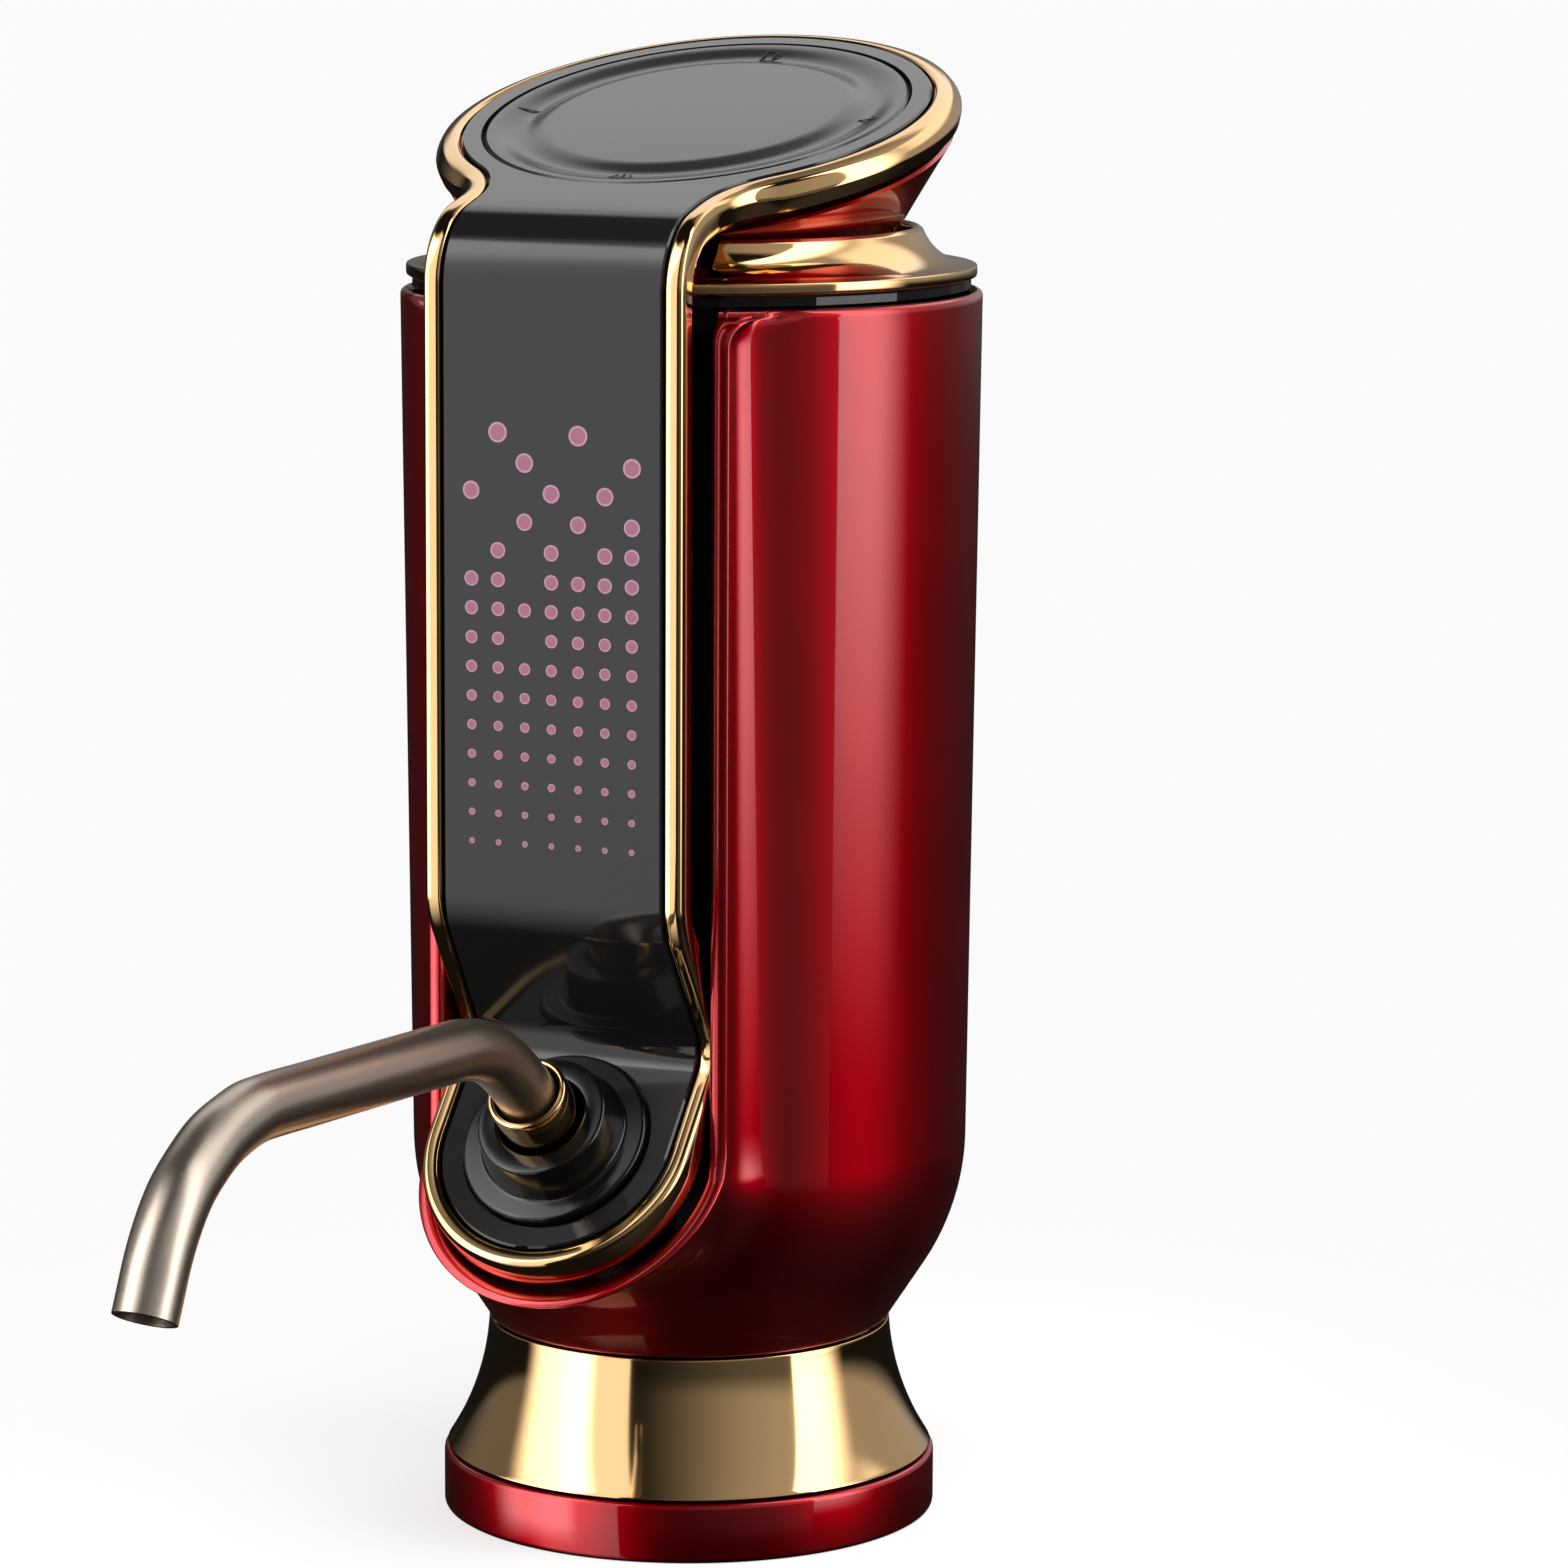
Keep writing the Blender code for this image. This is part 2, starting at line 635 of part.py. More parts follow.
class SidePath:
    """The line that the front follows in the YZ plane, from the disc's rear edge down to the nozzle plate."""

    def __init__(self):
        rear = DISC_CENTRE + disc_rearward() * (DISC_R + OVERRUN)
        slope = math.tan(DISC_TILT)
        bend = (-STRIP_FRONT, DISC_Z + (-STRIP_FRONT - DISC_CENTRE.y) * slope)
        recess = NOZZLE_CENTRE + NOZZLE_UP * RECESS_UP
        end = NOZZLE_CENTRE - NOZZLE_UP * (NOZZLE_PLATE_R + OVERRUN)
        corners = [(rear.y, rear.z), bend, (-STRIP_FRONT, RECESS_TOP_Z), (recess.y, recess.z), (end.y, end.z)]
        radii = (TOP_BEND_R, RECESS_BEND_R, RECESS_CORNER_R)
        self.knots = []
        self.add_knot(corners[0], heading(corners[0], corners[1]))
        self.bends = []
        for before, corner, after, radius in zip(corners, corners[1:], corners[2:], radii):
            self.round_corner(before, corner, after, radius)
        self.add_knot(corners[-1], heading(corners[-2], corners[-1]))
        self.disc_s = DISC_R + OVERRUN
        self.nozzle_s = self.knots[-1][0] - NOZZLE_PLATE_R - OVERRUN

    def add_knot(self, point, angle):
        """Add a point of the line, with the heading there."""
        run = 0.0
        if self.knots:
            last = self.knots[-1]
            run = last[0] + math.hypot(point[0] - last[1], point[1] - last[2])
        self.knots.append((run, point[0], point[1], angle))

    def round_corner(self, before, corner, after, radius):
        """Add the arc that rounds a corner."""
        start = heading(before, corner)
        turn = heading(corner, after) - start
        turn = math.atan2(math.sin(turn), math.cos(turn))
        back = radius * math.tan(abs(turn) / 2)
        side = 1 if turn > 0 else -1
        first = (corner[0] - back * math.cos(start), corner[1] - back * math.sin(start))
        centre = (first[0] - side * radius * math.sin(start), first[1] + side * radius * math.cos(start))
        for i in range(BEND_STEPS + 1):
            angle = start + turn * i / BEND_STEPS
            point = (
                centre[0] + side * radius * math.sin(angle),
                centre[1] - side * radius * math.cos(angle),
            )
            self.add_knot(point, angle)
        self.bends.append((self.knots[-1 - BEND_STEPS][0], self.knots[-1][0]))

    def point(self, x, s, height):
        """Point at x across the front, s along it and height out of its surface."""
        i = 0
        while i < len(self.knots) - 2 and self.knots[i + 1][0] < s:
            i += 1
        here, there = self.knots[i], self.knots[i + 1]
        share = (s - here[0]) / (there[0] - here[0])
        angle = here[3] + (there[3] - here[3]) * share
        y = here[1] + (there[1] - here[1]) * share + height * math.sin(angle)
        z = here[2] + (there[2] - here[2]) * share - height * math.cos(angle)
        return Vector((x, y, z))


def heading(start, end):
    """Angle of the line from start to end in the YZ plane."""
    return math.atan2(end[1] - start[1], end[0] - start[0])


def disc_rearward():
    """Direction in the disc's plane that points to its rear, raised edge."""
    return Vector((0, math.cos(DISC_TILT), math.sin(DISC_TILT)))


def outline(path, grow):
    """Right half of the keyhole outline from the rear to the nozzle's foot, as (x, s, zone share)."""
    points = []
    middle = STRIP_HALF_W + NECK_FILLET
    along = math.sqrt((DISC_R + NECK_FILLET) ** 2 - middle**2)
    swing = math.pi - math.atan2(middle, along)
    radius = DISC_R + grow
    for i in range(DISC_STEPS + 1):
        angle = swing * i / DISC_STEPS
        points.append((radius * math.sin(angle), path.disc_s - radius * math.cos(angle), 0.0))
    tight = NECK_FILLET - grow
    start = math.atan2(along, middle)
    for i in range(1, NECK_STEPS + 1):
        angle = start * (1 - i / NECK_STEPS)
        x = middle - tight * math.cos(angle)
        points.append((x, path.disc_s + along - tight * math.sin(angle), i / NECK_STEPS))
    widen_start = path.bends[1][0]
    widen_end = path.bends[2][1]
    for run, _, _, _ in path.knots[1:-1]:
        share = max((run - widen_start) / (widen_end - widen_start), 0)
        x = STRIP_HALF_W + (NOZZLE_PLATE_R - STRIP_HALF_W) * share + grow
        points.append((x, run, 1.0 + share))
    for i in range(QUARTER_STEPS + 1):
        angle = math.pi / 2 * i / QUARTER_STEPS
        radius = NOZZLE_PLATE_R + grow
        points.append((radius * math.cos(angle), path.nozzle_s + radius * math.sin(angle), 2.0))
    return points


def frame_section(zone):
    """Section of the gold frame as (outwards, height): round the disc, down the strip, round the nozzle."""
    to_strip = min(zone, 1.0)
    to_nozzle = max(zone - 1.0, 0.0)
    strip_depth = FRAME_DEPTH + (NOZZLE_RING_DEPTH - FRAME_DEPTH) * to_nozzle
    made = []
    for ring, strip in zip(RING_SECTION_SHARES, STRIP_SECTION_SHARES):
        across = ring[0] * RING_W * (1 - to_strip) + strip[0] * FRAME_W * to_strip
        height = ring[1] * RING_DEPTH * (1 - to_strip) + strip[1] * strip_depth * to_strip
        made.append((FIT + across, height))
    return made


def front_frame(path):
    """Gold keyhole frame: one closed bar lofted round the outline."""
    count = len(outline(path, 0))
    sections = [frame_section(zone) for _, _, zone in outline(path, 0)]
    bands = [outline(path, sections[0][k][0]) for k in range(len(sections[0]))]
    right = []
    for i in range(count):
        ring = []
        for k in range(len(sections[i])):
            across = sections[i][k][0] - sections[0][k][0]
            x, s, _ = bands[k][i]
            inner = outline_normal(bands[k], i)
            ring.append(path.point(x + inner[0] * across, s + inner[1] * across, sections[i][k][1]))
        right.append(ring)
    left = [[Vector((-p.x, p.y, p.z)) for p in ring] for ring in reversed(right[1:-1])]
    for ring in (right[0], right[-1]):
        for p in ring:
            p.x = 0
    return new_object("front_frame", loft_mesh(right + left, closed=True), MIRROR_GOLD)


def outline_normal(band, i):
    """Outward direction of the outline at a point, in (x, s)."""
    before = band[max(i - 1, 0)]
    after = band[min(i + 1, len(band) - 1)]
    dx = after[0] - before[0]
    ds = after[1] - before[1]
    length = math.hypot(dx, ds)
    return ds / length, -dx / length


def keyhole_sheet(path, grow, top, bottom, start_s=0.0):
    """Sheet of even thickness under the front's surface, inside the keyhole outline."""
    rings = []
    for x, s, _ in outline(path, grow)[1:-1]:
        if s >= start_s:
            rings.append([
                path.point(side * x, s, height)
                for side, height in ((1, top), (-1, top), (-1, bottom), (1, bottom))
            ])
    return loft_mesh(rings)


def front_panel(path):
    """Black panel over the disc, the strip, the recess and the nozzle plate."""
    made = new_object("front_panel", keyhole_sheet(path, 0, 0, -PANEL_T), BLACK_GLOSS)
    operate(made, round_cutter(DISC_FRAME, PAD_R + FIT))
    operate(made, round_cutter(NOZZLE_FRAME, STEP_ONE_R + FIT, QUARTER_STEPS * 4))
    return made


def round_cutter(frame, radius, steps=ROUND_STEPS):
    """Short bar through the surface, square to a frame, that cuts a round hole."""
    made = helper(rod_mesh((0, 0, -PANEL_T - OVERRUN), (0, 0, OVERRUN), radius, steps))
    made.matrix_world = frame
    return made


def base_ring():
    """Red ring that the aerator stands on."""
    bore = SOCKET_R + SLEEVE_WALL + FIT
    profile = [
        (bore, 0), (BASE_R - BASE_EDGE, 0), (BASE_R, BASE_EDGE),
        (BASE_R, BASE_H - BASE_EDGE), (BASE_R - BASE_EDGE / 2, BASE_H), (bore, BASE_H),
    ]
    return turned("base_ring", profile, CANDY_RED)


def skirt_outline():
    """Outer line of the gold skirt from the waist down to the base ring."""
    top = (SKIRT_TOP_R, WAIST_Z - FIT)
    foot = (SKIRT_TOP_R + SKIRT_FLARE, BASE_H + FIT)
    return arc_to(top, SKIRT_TOP_LEAN, foot, BEND_STEPS)


def neck_skirt():
    """Gold skirt that flares from the waist to the base ring."""
    outer = skirt_outline()
    inner = [(r - SKIRT_WALL, z) for r, z in reversed(outer)]
    return turned("neck_skirt", outer + inner, MIRROR_GOLD)


def neck_sleeve():
    """Black socket that takes the bottle's neck, closed above by a ceiling."""
    outer = SOCKET_R + SLEEVE_WALL
    top = WAIST_Z - FIT
    crown = SKIRT_TOP_R - SKIRT_WALL - FIT
    profile = [
        (outer, STOPPER_LIFT), (outer, CEILING_Z - SLEEVE_WALL), (crown, CEILING_Z), (crown, top),
        (0, top), (0, CEILING_Z), (SOCKET_R, CEILING_Z), (SOCKET_R, STOPPER_LIFT),
    ]
    made = turned("neck_sleeve", profile, BLACK_PLASTIC)
    bore_for_tubes(made, CEILING_Z, top)
    screw_holes(made, base_screw_places(), top - CEILING_Z + OVERRUN, sunk=True)
    return made


def bore_for_tubes(piece, low, high):
    """Holes through a plate for the wine tube and the air tube."""
    for x, radius in ((WINE_BORE_X, WINE_TUBE_R), (AIR_BORE_X, AIR_TUBE_R)):
        hole = rod_mesh((x, 0, low - OVERRUN), (x, 0, high + OVERRUN), radius + TUBE_PLAY)
        operate(piece, helper(hole))


def base_screw_places():
    """Placements of the screws that hold the sleeve, skirt and body to the chassis."""
    turns = [math.pi / 2 + 2 * math.pi * i / BASE_SCREWS for i in range(BASE_SCREWS)]
    radius = BASE_SCREW_CIRCLE_R
    seat = CEILING_Z + SCREW_HEAD_H
    return [Matrix.Translation((radius * math.cos(a), radius * math.sin(a), seat)) for a in turns]


def screws(name, places, length):
    """Pan-head screws, each along its own local Z: the head below its origin, the shank above."""
    profile = [
        (0, -SCREW_HEAD_H), (SCREW_HEAD_R, -SCREW_HEAD_H), (SCREW_HEAD_R, 0),
        (SCREW_R, 0), (SCREW_R, length), (0, length),
    ]
    for number, place in enumerate(places, 1):
        turned(f"{name}_{number}", profile, STEEL, place, SMALL_STEPS // 2)


def screw_holes(piece, places, length, sunk=False):
    """Holes for screws, with room for their heads where these are sunk."""
    wide = SCREW_HEAD_R + SCREW_PLAY
    narrow = SCREW_R + SCREW_PLAY
    profile = [(0, -OVERRUN), (narrow, -OVERRUN)]
    if sunk:
        profile = [(0, -OVERRUN), (wide, -OVERRUN), (wide, SCREW_PLAY), (narrow, SCREW_PLAY)]
    profile += [(narrow, length), (0, length)]
    for place in places:
        operate(piece, turned_helper(profile, place, SMALL_STEPS))


def base_screws():
    """Screws from under the ceiling up into the chassis."""
    screws("base_screw", base_screw_places(), CHASSIS_TOP_Z - CEILING_Z - SCREW_HEAD_H)


def bottle_stopper():
    """Silicone stopper with its sealing flange, for the bottle's mouth."""
    flange = SOCKET_R - GASKET_PLAY
    top = CEILING_Z - FIT
    profile = [
        (0, STOPPER_LIFT), (STOPPER_TIP_R, STOPPER_LIFT), (STOPPER_TOP_R, GASKET_Z),
        (flange, GASKET_Z), (flange, top), (0, top),
    ]
    made = turned("bottle_stopper", profile, SILICONE)
    for x, radius in ((WINE_BORE_X, WINE_BORE_R), (AIR_BORE_X, AIR_BORE_R)):
        operate(made, helper(rod_mesh((x, 0, -OVERRUN), (x, 0, top + OVERRUN), radius)))
    return made


def body_shell():
    """Red body: a turned shell with the hood that projects round the strip's slot."""
    outer = wall_profile(0)
    rim = outer[0]
    edged = [(rim[0] - BODY_RIM_EDGE, rim[1]), (rim[0], rim[1] - BODY_RIM_EDGE)]
    made = turned("body_shell", [(0, rim[1])] + edged + outer[1:] + [(0, WAIST_Z)], CANDY_RED)
    operate(made, hood(), "UNION")
    operate(made, inside_solid(BODY_WALL))
    slot = u_outline(HOOD_HALF_W - HOOD_WALL, RIM_Z + OVERRUN)
    operate(made, helper(prism_mesh(slot, -STRIP_FRONT * 2, -SLOT_ROOT, across_front)))
    port = rounded_slot(PORT_HALF_W + PORT_BEZEL_W + FIT, PORT_HALF_H + PORT_BEZEL_W + FIT)
    operate(made, helper(prism_mesh(port, MAIN_BOARD_Y, BODY_RIM_R + OVERRUN, across_front)))
    return made


def inside_solid(inset):
    """Solid that fills the body within its wall, run out past both ends."""
    wall = wall_profile(inset)
    lean = (wall[-2][0] - wall[-1][0]) / (wall[-2][1] - wall[-1][1])
    low = (wall[-1][0] - lean * OVERRUN, WAIST_Z - OVERRUN)
    high = (wall[0][0], RIM_Z + OVERRUN)
    return turned_helper([(0, high[1]), high] + wall + [low, (0, low[1])])


def across_front(x, z, y):
    """Place of an outline drawn on the front view."""
    return (x, y, z)


def across_side(y, z, x):
    """Place of an outline drawn on the side view."""
    return (x, y, z)


def u_outline(half, top):
    """U that the hood makes in the front view: straight sides and the tilted circle's foreshortened foot."""
    foot = half * math.sin(NOZZLE_TILT)
    points = [(half, top)]
    for i in range(QUARTER_STEPS * 2 + 1):
        angle = math.pi * i / (QUARTER_STEPS * 2)
        points.append((half * math.cos(angle), LIP_CENTRE.z - foot * math.sin(angle)))
    points.append((-half, top))
    return points


def hood():
    """Solid hood: the U carried back into the body, cut off by the lip's front planes."""
    top = RIM_Z - HOOD_TOP_DROP
    block = helper(prism_mesh(u_outline(HOOD_HALF_W, top), -STRIP_FRONT * 2, -HOOD_ROOT, across_front))
    kink = (LIP_CENTRE.y + HOOD_FRONT) / NOZZLE_UP.y
    kink_point = LIP_CENTRE - NOZZLE_UP * kink
    foot = LIP_CENTRE - NOZZLE_UP * (HOOD_HALF_W + OVERRUN)
    side = [(0, top + OVERRUN), (-HOOD_FRONT + HOOD_TOP_R, top + OVERRUN)]
    for i in range(BEND_STEPS + 1):
        angle = math.pi / 2 * i / BEND_STEPS
        y = -HOOD_FRONT + HOOD_TOP_R * (1 - math.sin(angle))
        side.append((y, top - HOOD_TOP_R * (1 - math.cos(angle))))
    side += [(kink_point.y, kink_point.z), (foot.y, foot.z), (0, foot.z)]
    wedge = helper(prism_mesh(side, -HOOD_HALF_W - OVERRUN, HOOD_HALF_W + OVERRUN, across_side))
    operate(block, wedge, "INTERSECT")
    return block


def rounded_slot(half_w, half_h):
    """Slot with round ends, centred on the charging port, in the front view."""
    points = []
    for side in (1, -1):
        for i in range(QUARTER_STEPS + 1):
            angle = -math.pi / 2 + math.pi * i / QUARTER_STEPS
            x = side * (half_w - half_h + half_h * math.cos(angle))
            points.append((x, PORT_Z + side * half_h * math.sin(angle)))
    return points


def inner_chassis():
    """Black frame inside: the foot that the body seats on, the spine, standoffs and board rails."""
    disc = [(0, WAIST_Z), (BODY_LOW_R, WAIST_Z), (BODY_LOW_R, CHASSIS_TOP_Z), (0, CHASSIS_TOP_Z)]
    made = turned("inner_chassis", disc, BLACK_PLASTIC)
    spine_top = LID_FLANGE_Z - LID_FIT_DROP - FIT
    root = CHASSIS_TOP_Z - CHASSIS_FLANGE_T / 2
    spine = box_mesh((-SPINE_HALF_W, -SPINE_FRONT, root), (SPINE_HALF_W, SPINE_BACK_Y, spine_top))
    operate(made, helper(spine), "UNION")
    window = box_mesh(
        (-SPINE_WINDOW_HALF_W, -SPINE_FRONT - OVERRUN, CHASSIS_TOP_Z + FIT),
        (SPINE_WINDOW_HALF_W, SPINE_BACK_Y + OVERRUN, CHASSIS_TOP_Z + SPINE_WINDOW_H),
    )
    operate(made, helper(window))
    rail_top = MAIN_BOARD_LOW_Z + MAIN_BOARD_H
    for side in (1, -1):
        inner = side * (MAIN_BOARD_HALF_W - RAIL_GRIP)
        outer = side * (MAIN_BOARD_HALF_W - RAIL_GRIP + RAIL_W)
        low_y = MAIN_BOARD_Y + BOARD_T / 2 - RAIL_DEPTH / 2
        rail = box_mesh(
            (min(inner, outer), low_y, root), (max(inner, outer), low_y + RAIL_DEPTH, rail_top)
        )
        operate(made, helper(rail), "UNION")
    operate(made, inside_solid(BODY_WALL + FIT), "INTERSECT")
    groove = box_mesh(
        (-MAIN_BOARD_HALF_W - FIT, MAIN_BOARD_Y - FIT, MAIN_BOARD_LOW_Z - FIT),
        (MAIN_BOARD_HALF_W + FIT, MAIN_BOARD_Y + BOARD_T + FIT, rail_top + OVERRUN),
    )
    operate(made, helper(groove))
    for x, z in standoff_places():
        post = rod_mesh((x, SPINE_BACK_Y - SPINE_T / 2, z), (x, tray_back_y() + FIT, z), STANDOFF_R)
        operate(made, helper(post), "UNION")
    screw_holes(made, tray_screw_places(), SPINE_BACK_Y - tray_back_y(), sunk=True)
    bore_for_tubes(made, WAIST_Z, CHASSIS_TOP_Z)
    screw_holes(made, base_screw_places(), CHASSIS_TOP_Z - CEILING_Z)
    return made


LID_FIT_DROP = LID_T - LID_FLANGE_T


def standoff_places():
    """Places of the four standoffs that carry the tray, outside its pocket."""
    low = POCKET_LOW_Z - STANDOFF_OUTSIDE
    high = POCKET_LOW_Z + POCKET_H + STANDOFF_OUTSIDE
    return [(x, z) for z in (low, high) for x in (-STANDOFF_X, STANDOFF_X)]


def tray_back_y():
    """Rear face of the tray behind the strip."""
    return -STRIP_FRONT + PANEL_T + FIT + TRAY_T


def front_tray(path):
    """Black tray that backs the panel and holds the light board."""
    top = -PANEL_T - FIT
    start = path.bends[0][1]
    made = new_object("front_tray", keyhole_sheet(path, 0, top, top - TRAY_T, start), BLACK_PLASTIC)
    pocket = box_mesh(
        (-POCKET_HALF_W, -STRIP_FRONT - OVERRUN, POCKET_LOW_Z),
        (POCKET_HALF_W, -STRIP_FRONT + pocket_depth(), POCKET_LOW_Z + POCKET_H),
    )
    operate(made, helper(pocket))
    bore = helper(rod_mesh((0, 0, top - TRAY_T - OVERRUN), (0, 0, OVERRUN), STEM_R + FIT, ROUND_STEPS))
    bore.matrix_world = NOZZLE_FRAME
    operate(made, bore)
    screw_holes(made, tray_screw_places(), tray_screw_length() + SCREW_PLAY)
    return made


def pocket_depth():
    """How far the pocket's floor lies behind the strip's surface."""
    return PANEL_T + FIT + FIT + LIGHT_GUIDE_T + FIT + LIGHT_BOARD_T + FIT


def tray_screw_places():
    """Placements of the screws from the spine through the standoffs into the tray."""
    turn = Matrix.Rotation(math.pi / 2, 4, "X")
    seat = SPINE_BACK_Y - SCREW_HEAD_H
    return [Matrix.Translation((x, seat, z)) @ turn for x, z in standoff_places()]


def tray_screw_length():
    """Length of those screws under the head."""
    return SPINE_BACK_Y - SCREW_HEAD_H - tray_back_y() + SCREW_BITE


def tray_screws():
    """Screws that hold the tray to the chassis."""
    screws("tray_screw", tray_screw_places(), tray_screw_length())


def light_plate(name, front_y, thickness, finish):
    """Plate that lies in the tray's pocket."""
    half = POCKET_HALF_W - FIT
    low = (-half, front_y, POCKET_LOW_Z + FIT)
    high = (half, front_y + thickness, POCKET_LOW_Z + POCKET_H - FIT)
    return new_object(name, box_mesh(low, high), finish)


def light_plates():
    """Milky light guide with the light board behind it."""
    guide_y = -STRIP_FRONT + PANEL_T + FIT + FIT
    light_plate("light_guide", guide_y, LIGHT_GUIDE_T, MILKY)
    light_plate("light_board", guide_y + LIGHT_GUIDE_T + FIT, LIGHT_BOARD_T, BOARD_GREEN)


def nozzle_boss():
    """Black stepped boss that the spout turns in, with the wine nipple at its rear."""
    profile = [
        (GLAND_R, STEP_TWO_H), (STEP_TWO_TOP_R - STEP_EDGE, STEP_TWO_H),
        (STEP_TWO_TOP_R, STEP_TWO_H - STEP_EDGE), (STEP_TWO_R, STEP_ONE_H + STEP_EDGE),
        (STEP_ONE_R - STEP_EDGE, STEP_ONE_H), (STEP_ONE_R, STEP_ONE_H - STEP_EDGE),
        (STEP_ONE_R, -PANEL_T), (STEM_R, -PANEL_T), (STEM_R, -STEM_DEPTH), (NIPPLE_R, -STEM_DEPTH),
        (NIPPLE_R, -STEM_DEPTH - NIPPLE_L), (NIPPLE_BORE_R, -STEM_DEPTH - NIPPLE_L),
        (NIPPLE_BORE_R, -GLAND_DEPTH), (GLAND_R, -GLAND_DEPTH),
    ]
    return turned("nozzle_boss", profile, BLACK_GLOSS, NOZZLE_FRAME, QUARTER_STEPS * 4)


def nozzle_nut():
    """Hexagonal nut that clamps the boss to the tray."""
    top = -PANEL_T - FIT - TRAY_T - FIT
    made = new_object("nozzle_nut", rod_mesh((0, 0, top - NUT_T), (0, 0, top), NUT_R, 6), STEEL)
    made.matrix_world = NOZZLE_FRAME
    bore = helper(rod_mesh((0, 0, top - NUT_T - OVERRUN), (0, 0, top + OVERRUN), STEM_R + FIT, ROUND_STEPS))
    bore.matrix_world = NOZZLE_FRAME
    operate(made, bore)
    return made


def spout_collar():
    """Gold collar that closes the gland and turns with the spout."""
    low = STEP_TWO_H - COLLAR_SUNK
    top = STEP_TWO_H + COLLAR_H
    bore = SPOUT_R + TUBE_PLAY
    profile = [
        (bore, low), (COLLAR_R, low), (COLLAR_R, top - STEP_EDGE), (COLLAR_R - STEP_EDGE, top),
        (bore, top),
    ]
    return turned("spout_collar", profile, MIRROR_GOLD, NOZZLE_FRAME, QUARTER_STEPS * 4)


def spout_route():
    """Centre line of the spout: out along the nozzle's axis, a rising run and a bend down to the end."""
    root = NOZZLE_CENTRE - NOZZLE_AXIS * SPOUT_SEAT
    throat = NOZZLE_CENTRE + NOZZLE_AXIS * (STEP_TWO_H + COLLAR_H)
    shoulder = Vector((0, -SPOUT_SHOULDER, SPOUT_SHOULDER_Z))
    crest = Vector((0, -SPOUT_CREST, SPOUT_CREST_Z))
    end = Vector((0, -SPOUT_REACH, SPOUT_END_Z))
    route = [root, throat]
    for start, finish, shares in (
        (throat, shoulder, SPOUT_ELBOW_SHARES),
        (shoulder, crest, SPOUT_RUN_SHARES),
        (crest, end, SPOUT_BEND_SHARES),
    ):
        for along, up in shares:
            y = start.y + (finish.y - start.y) * along
            route.append(Vector((0, y, start.z + (finish.z - start.z) * up)))
    return route


SPOUT_ELBOW_SHARES = ((0.23, 0.45), (0.47, 0.78), (0.74, 0.95), (1.00, 1.00))
SPOUT_RUN_SHARES = ((0.35, 0.37), (0.70, 0.72), (1.00, 1.00))
SPOUT_BEND_SHARES = (
    (0.15, 0.02), (0.37, 0.09), (0.55, 0.21), (0.68, 0.33), (0.79, 0.49), (0.88, 0.67), (0.95, 0.86),
    (1.00, 1.00),
)


def set_origin(item, place):
    """Move an object's origin without moving its shape."""
    item.data.transform(place.inverted())
    item.matrix_world = place


def spout_tube():
    """Bent stainless spout."""
    points = smooth_points(spout_route(), SPOUT_POINTS)
    made = new_object("spout_tube", tube_mesh(points, SPOUT_R, SPOUT_WALL, SPOUT_RESOLUTION), STAINLESS)
    set_origin(made, NOZZLE_FRAME)
    return made


SPOUT_POINTS = 4


def spout_o_rings():
    """Two rubber rings that seal the spout in the gland."""
    middle = (SPOUT_R + GLAND_R) / 2
    for number, depth in enumerate(O_RING_DEPTHS, 1):
        ring = []
        for i in range(QUARTER_STEPS):
            angle = 2 * math.pi * i / QUARTER_STEPS
            ring.append((middle + O_RING_R * math.cos(angle), depth + O_RING_R * math.sin(angle)))
        turned(f"spout_o_ring_{number}", ring, BLACK_RUBBER, NOZZLE_FRAME, SMALL_STEPS)


def body_lid():
    """Black lid in the body's mouth, whose flange shows as the dark line under the shoulder."""
    flange = BODY_RIM_R - LID_FLANGE_INSET
    spigot = inner_wall_r(RIM_Z) - FIT
    foot = LID_FLANGE_Z - LID_SPIGOT_H
    under = LID_TOP_Z - LID_T
    profile = [
        (LID_HOLE_R, LID_TOP_Z), (flange, LID_TOP_Z), (flange, LID_FLANGE_Z), (spigot, LID_FLANGE_Z),
        (spigot - FIT, foot), (spigot - LID_SPIGOT_WALL, foot), (spigot - LID_SPIGOT_WALL, under),
        (LID_HOLE_R, under),
    ]
    made = turned("body_lid", profile, BLACK_PLASTIC)
    operate(made, helper(strip_notch()))
    return made


def strip_notch():
    """Box that clears the front strip and its tray from what it passes."""
    half = HOOD_HALF_W - HOOD_WALL
    return box_mesh((-half, -STRIP_FRONT * 2, WAIST_Z), (half, tray_back_y() + FIT, DISC_Z))


def shoulder_collar():
    """Gold shoulder that flares from the head down to the body's rim, open at the front for the strip."""
    foot_r = BODY_RIM_R - SHOULDER_INSET
    foot_z = SHOULDER_Z
    edge_z = foot_z + SHOULDER_EDGE_H
    top_z = foot_z + SHOULDER_H
    crest = (SHOULDER_TOP_R + SHOULDER_BORE_R) / 2
    flare = arc_to((SHOULDER_TOP_R, top_z - LIP_DROP), SHOULDER_TOP_LEAN, (foot_r, edge_z), BEND_STEPS)
    profile = [(SHOULDER_BORE_R, foot_z), (SHOULDER_BORE_R, top_z - LIP_DROP), (crest, top_z)]
    profile += flare + [(foot_r, foot_z + FIT), (foot_r - FIT, foot_z)]
    made = turned("shoulder_collar", profile, MIRROR_GOLD)
    operate(made, helper(shoulder_notch()))
    return made


LIP_DROP = 0.0004


def shoulder_notch():
    """Box that opens the shoulder for the strip's tray."""
    half = STRIP_HALF_W + FIT
    return box_mesh((-half, -STRIP_FRONT * 2, WAIST_Z), (half, 0, DISC_Z))


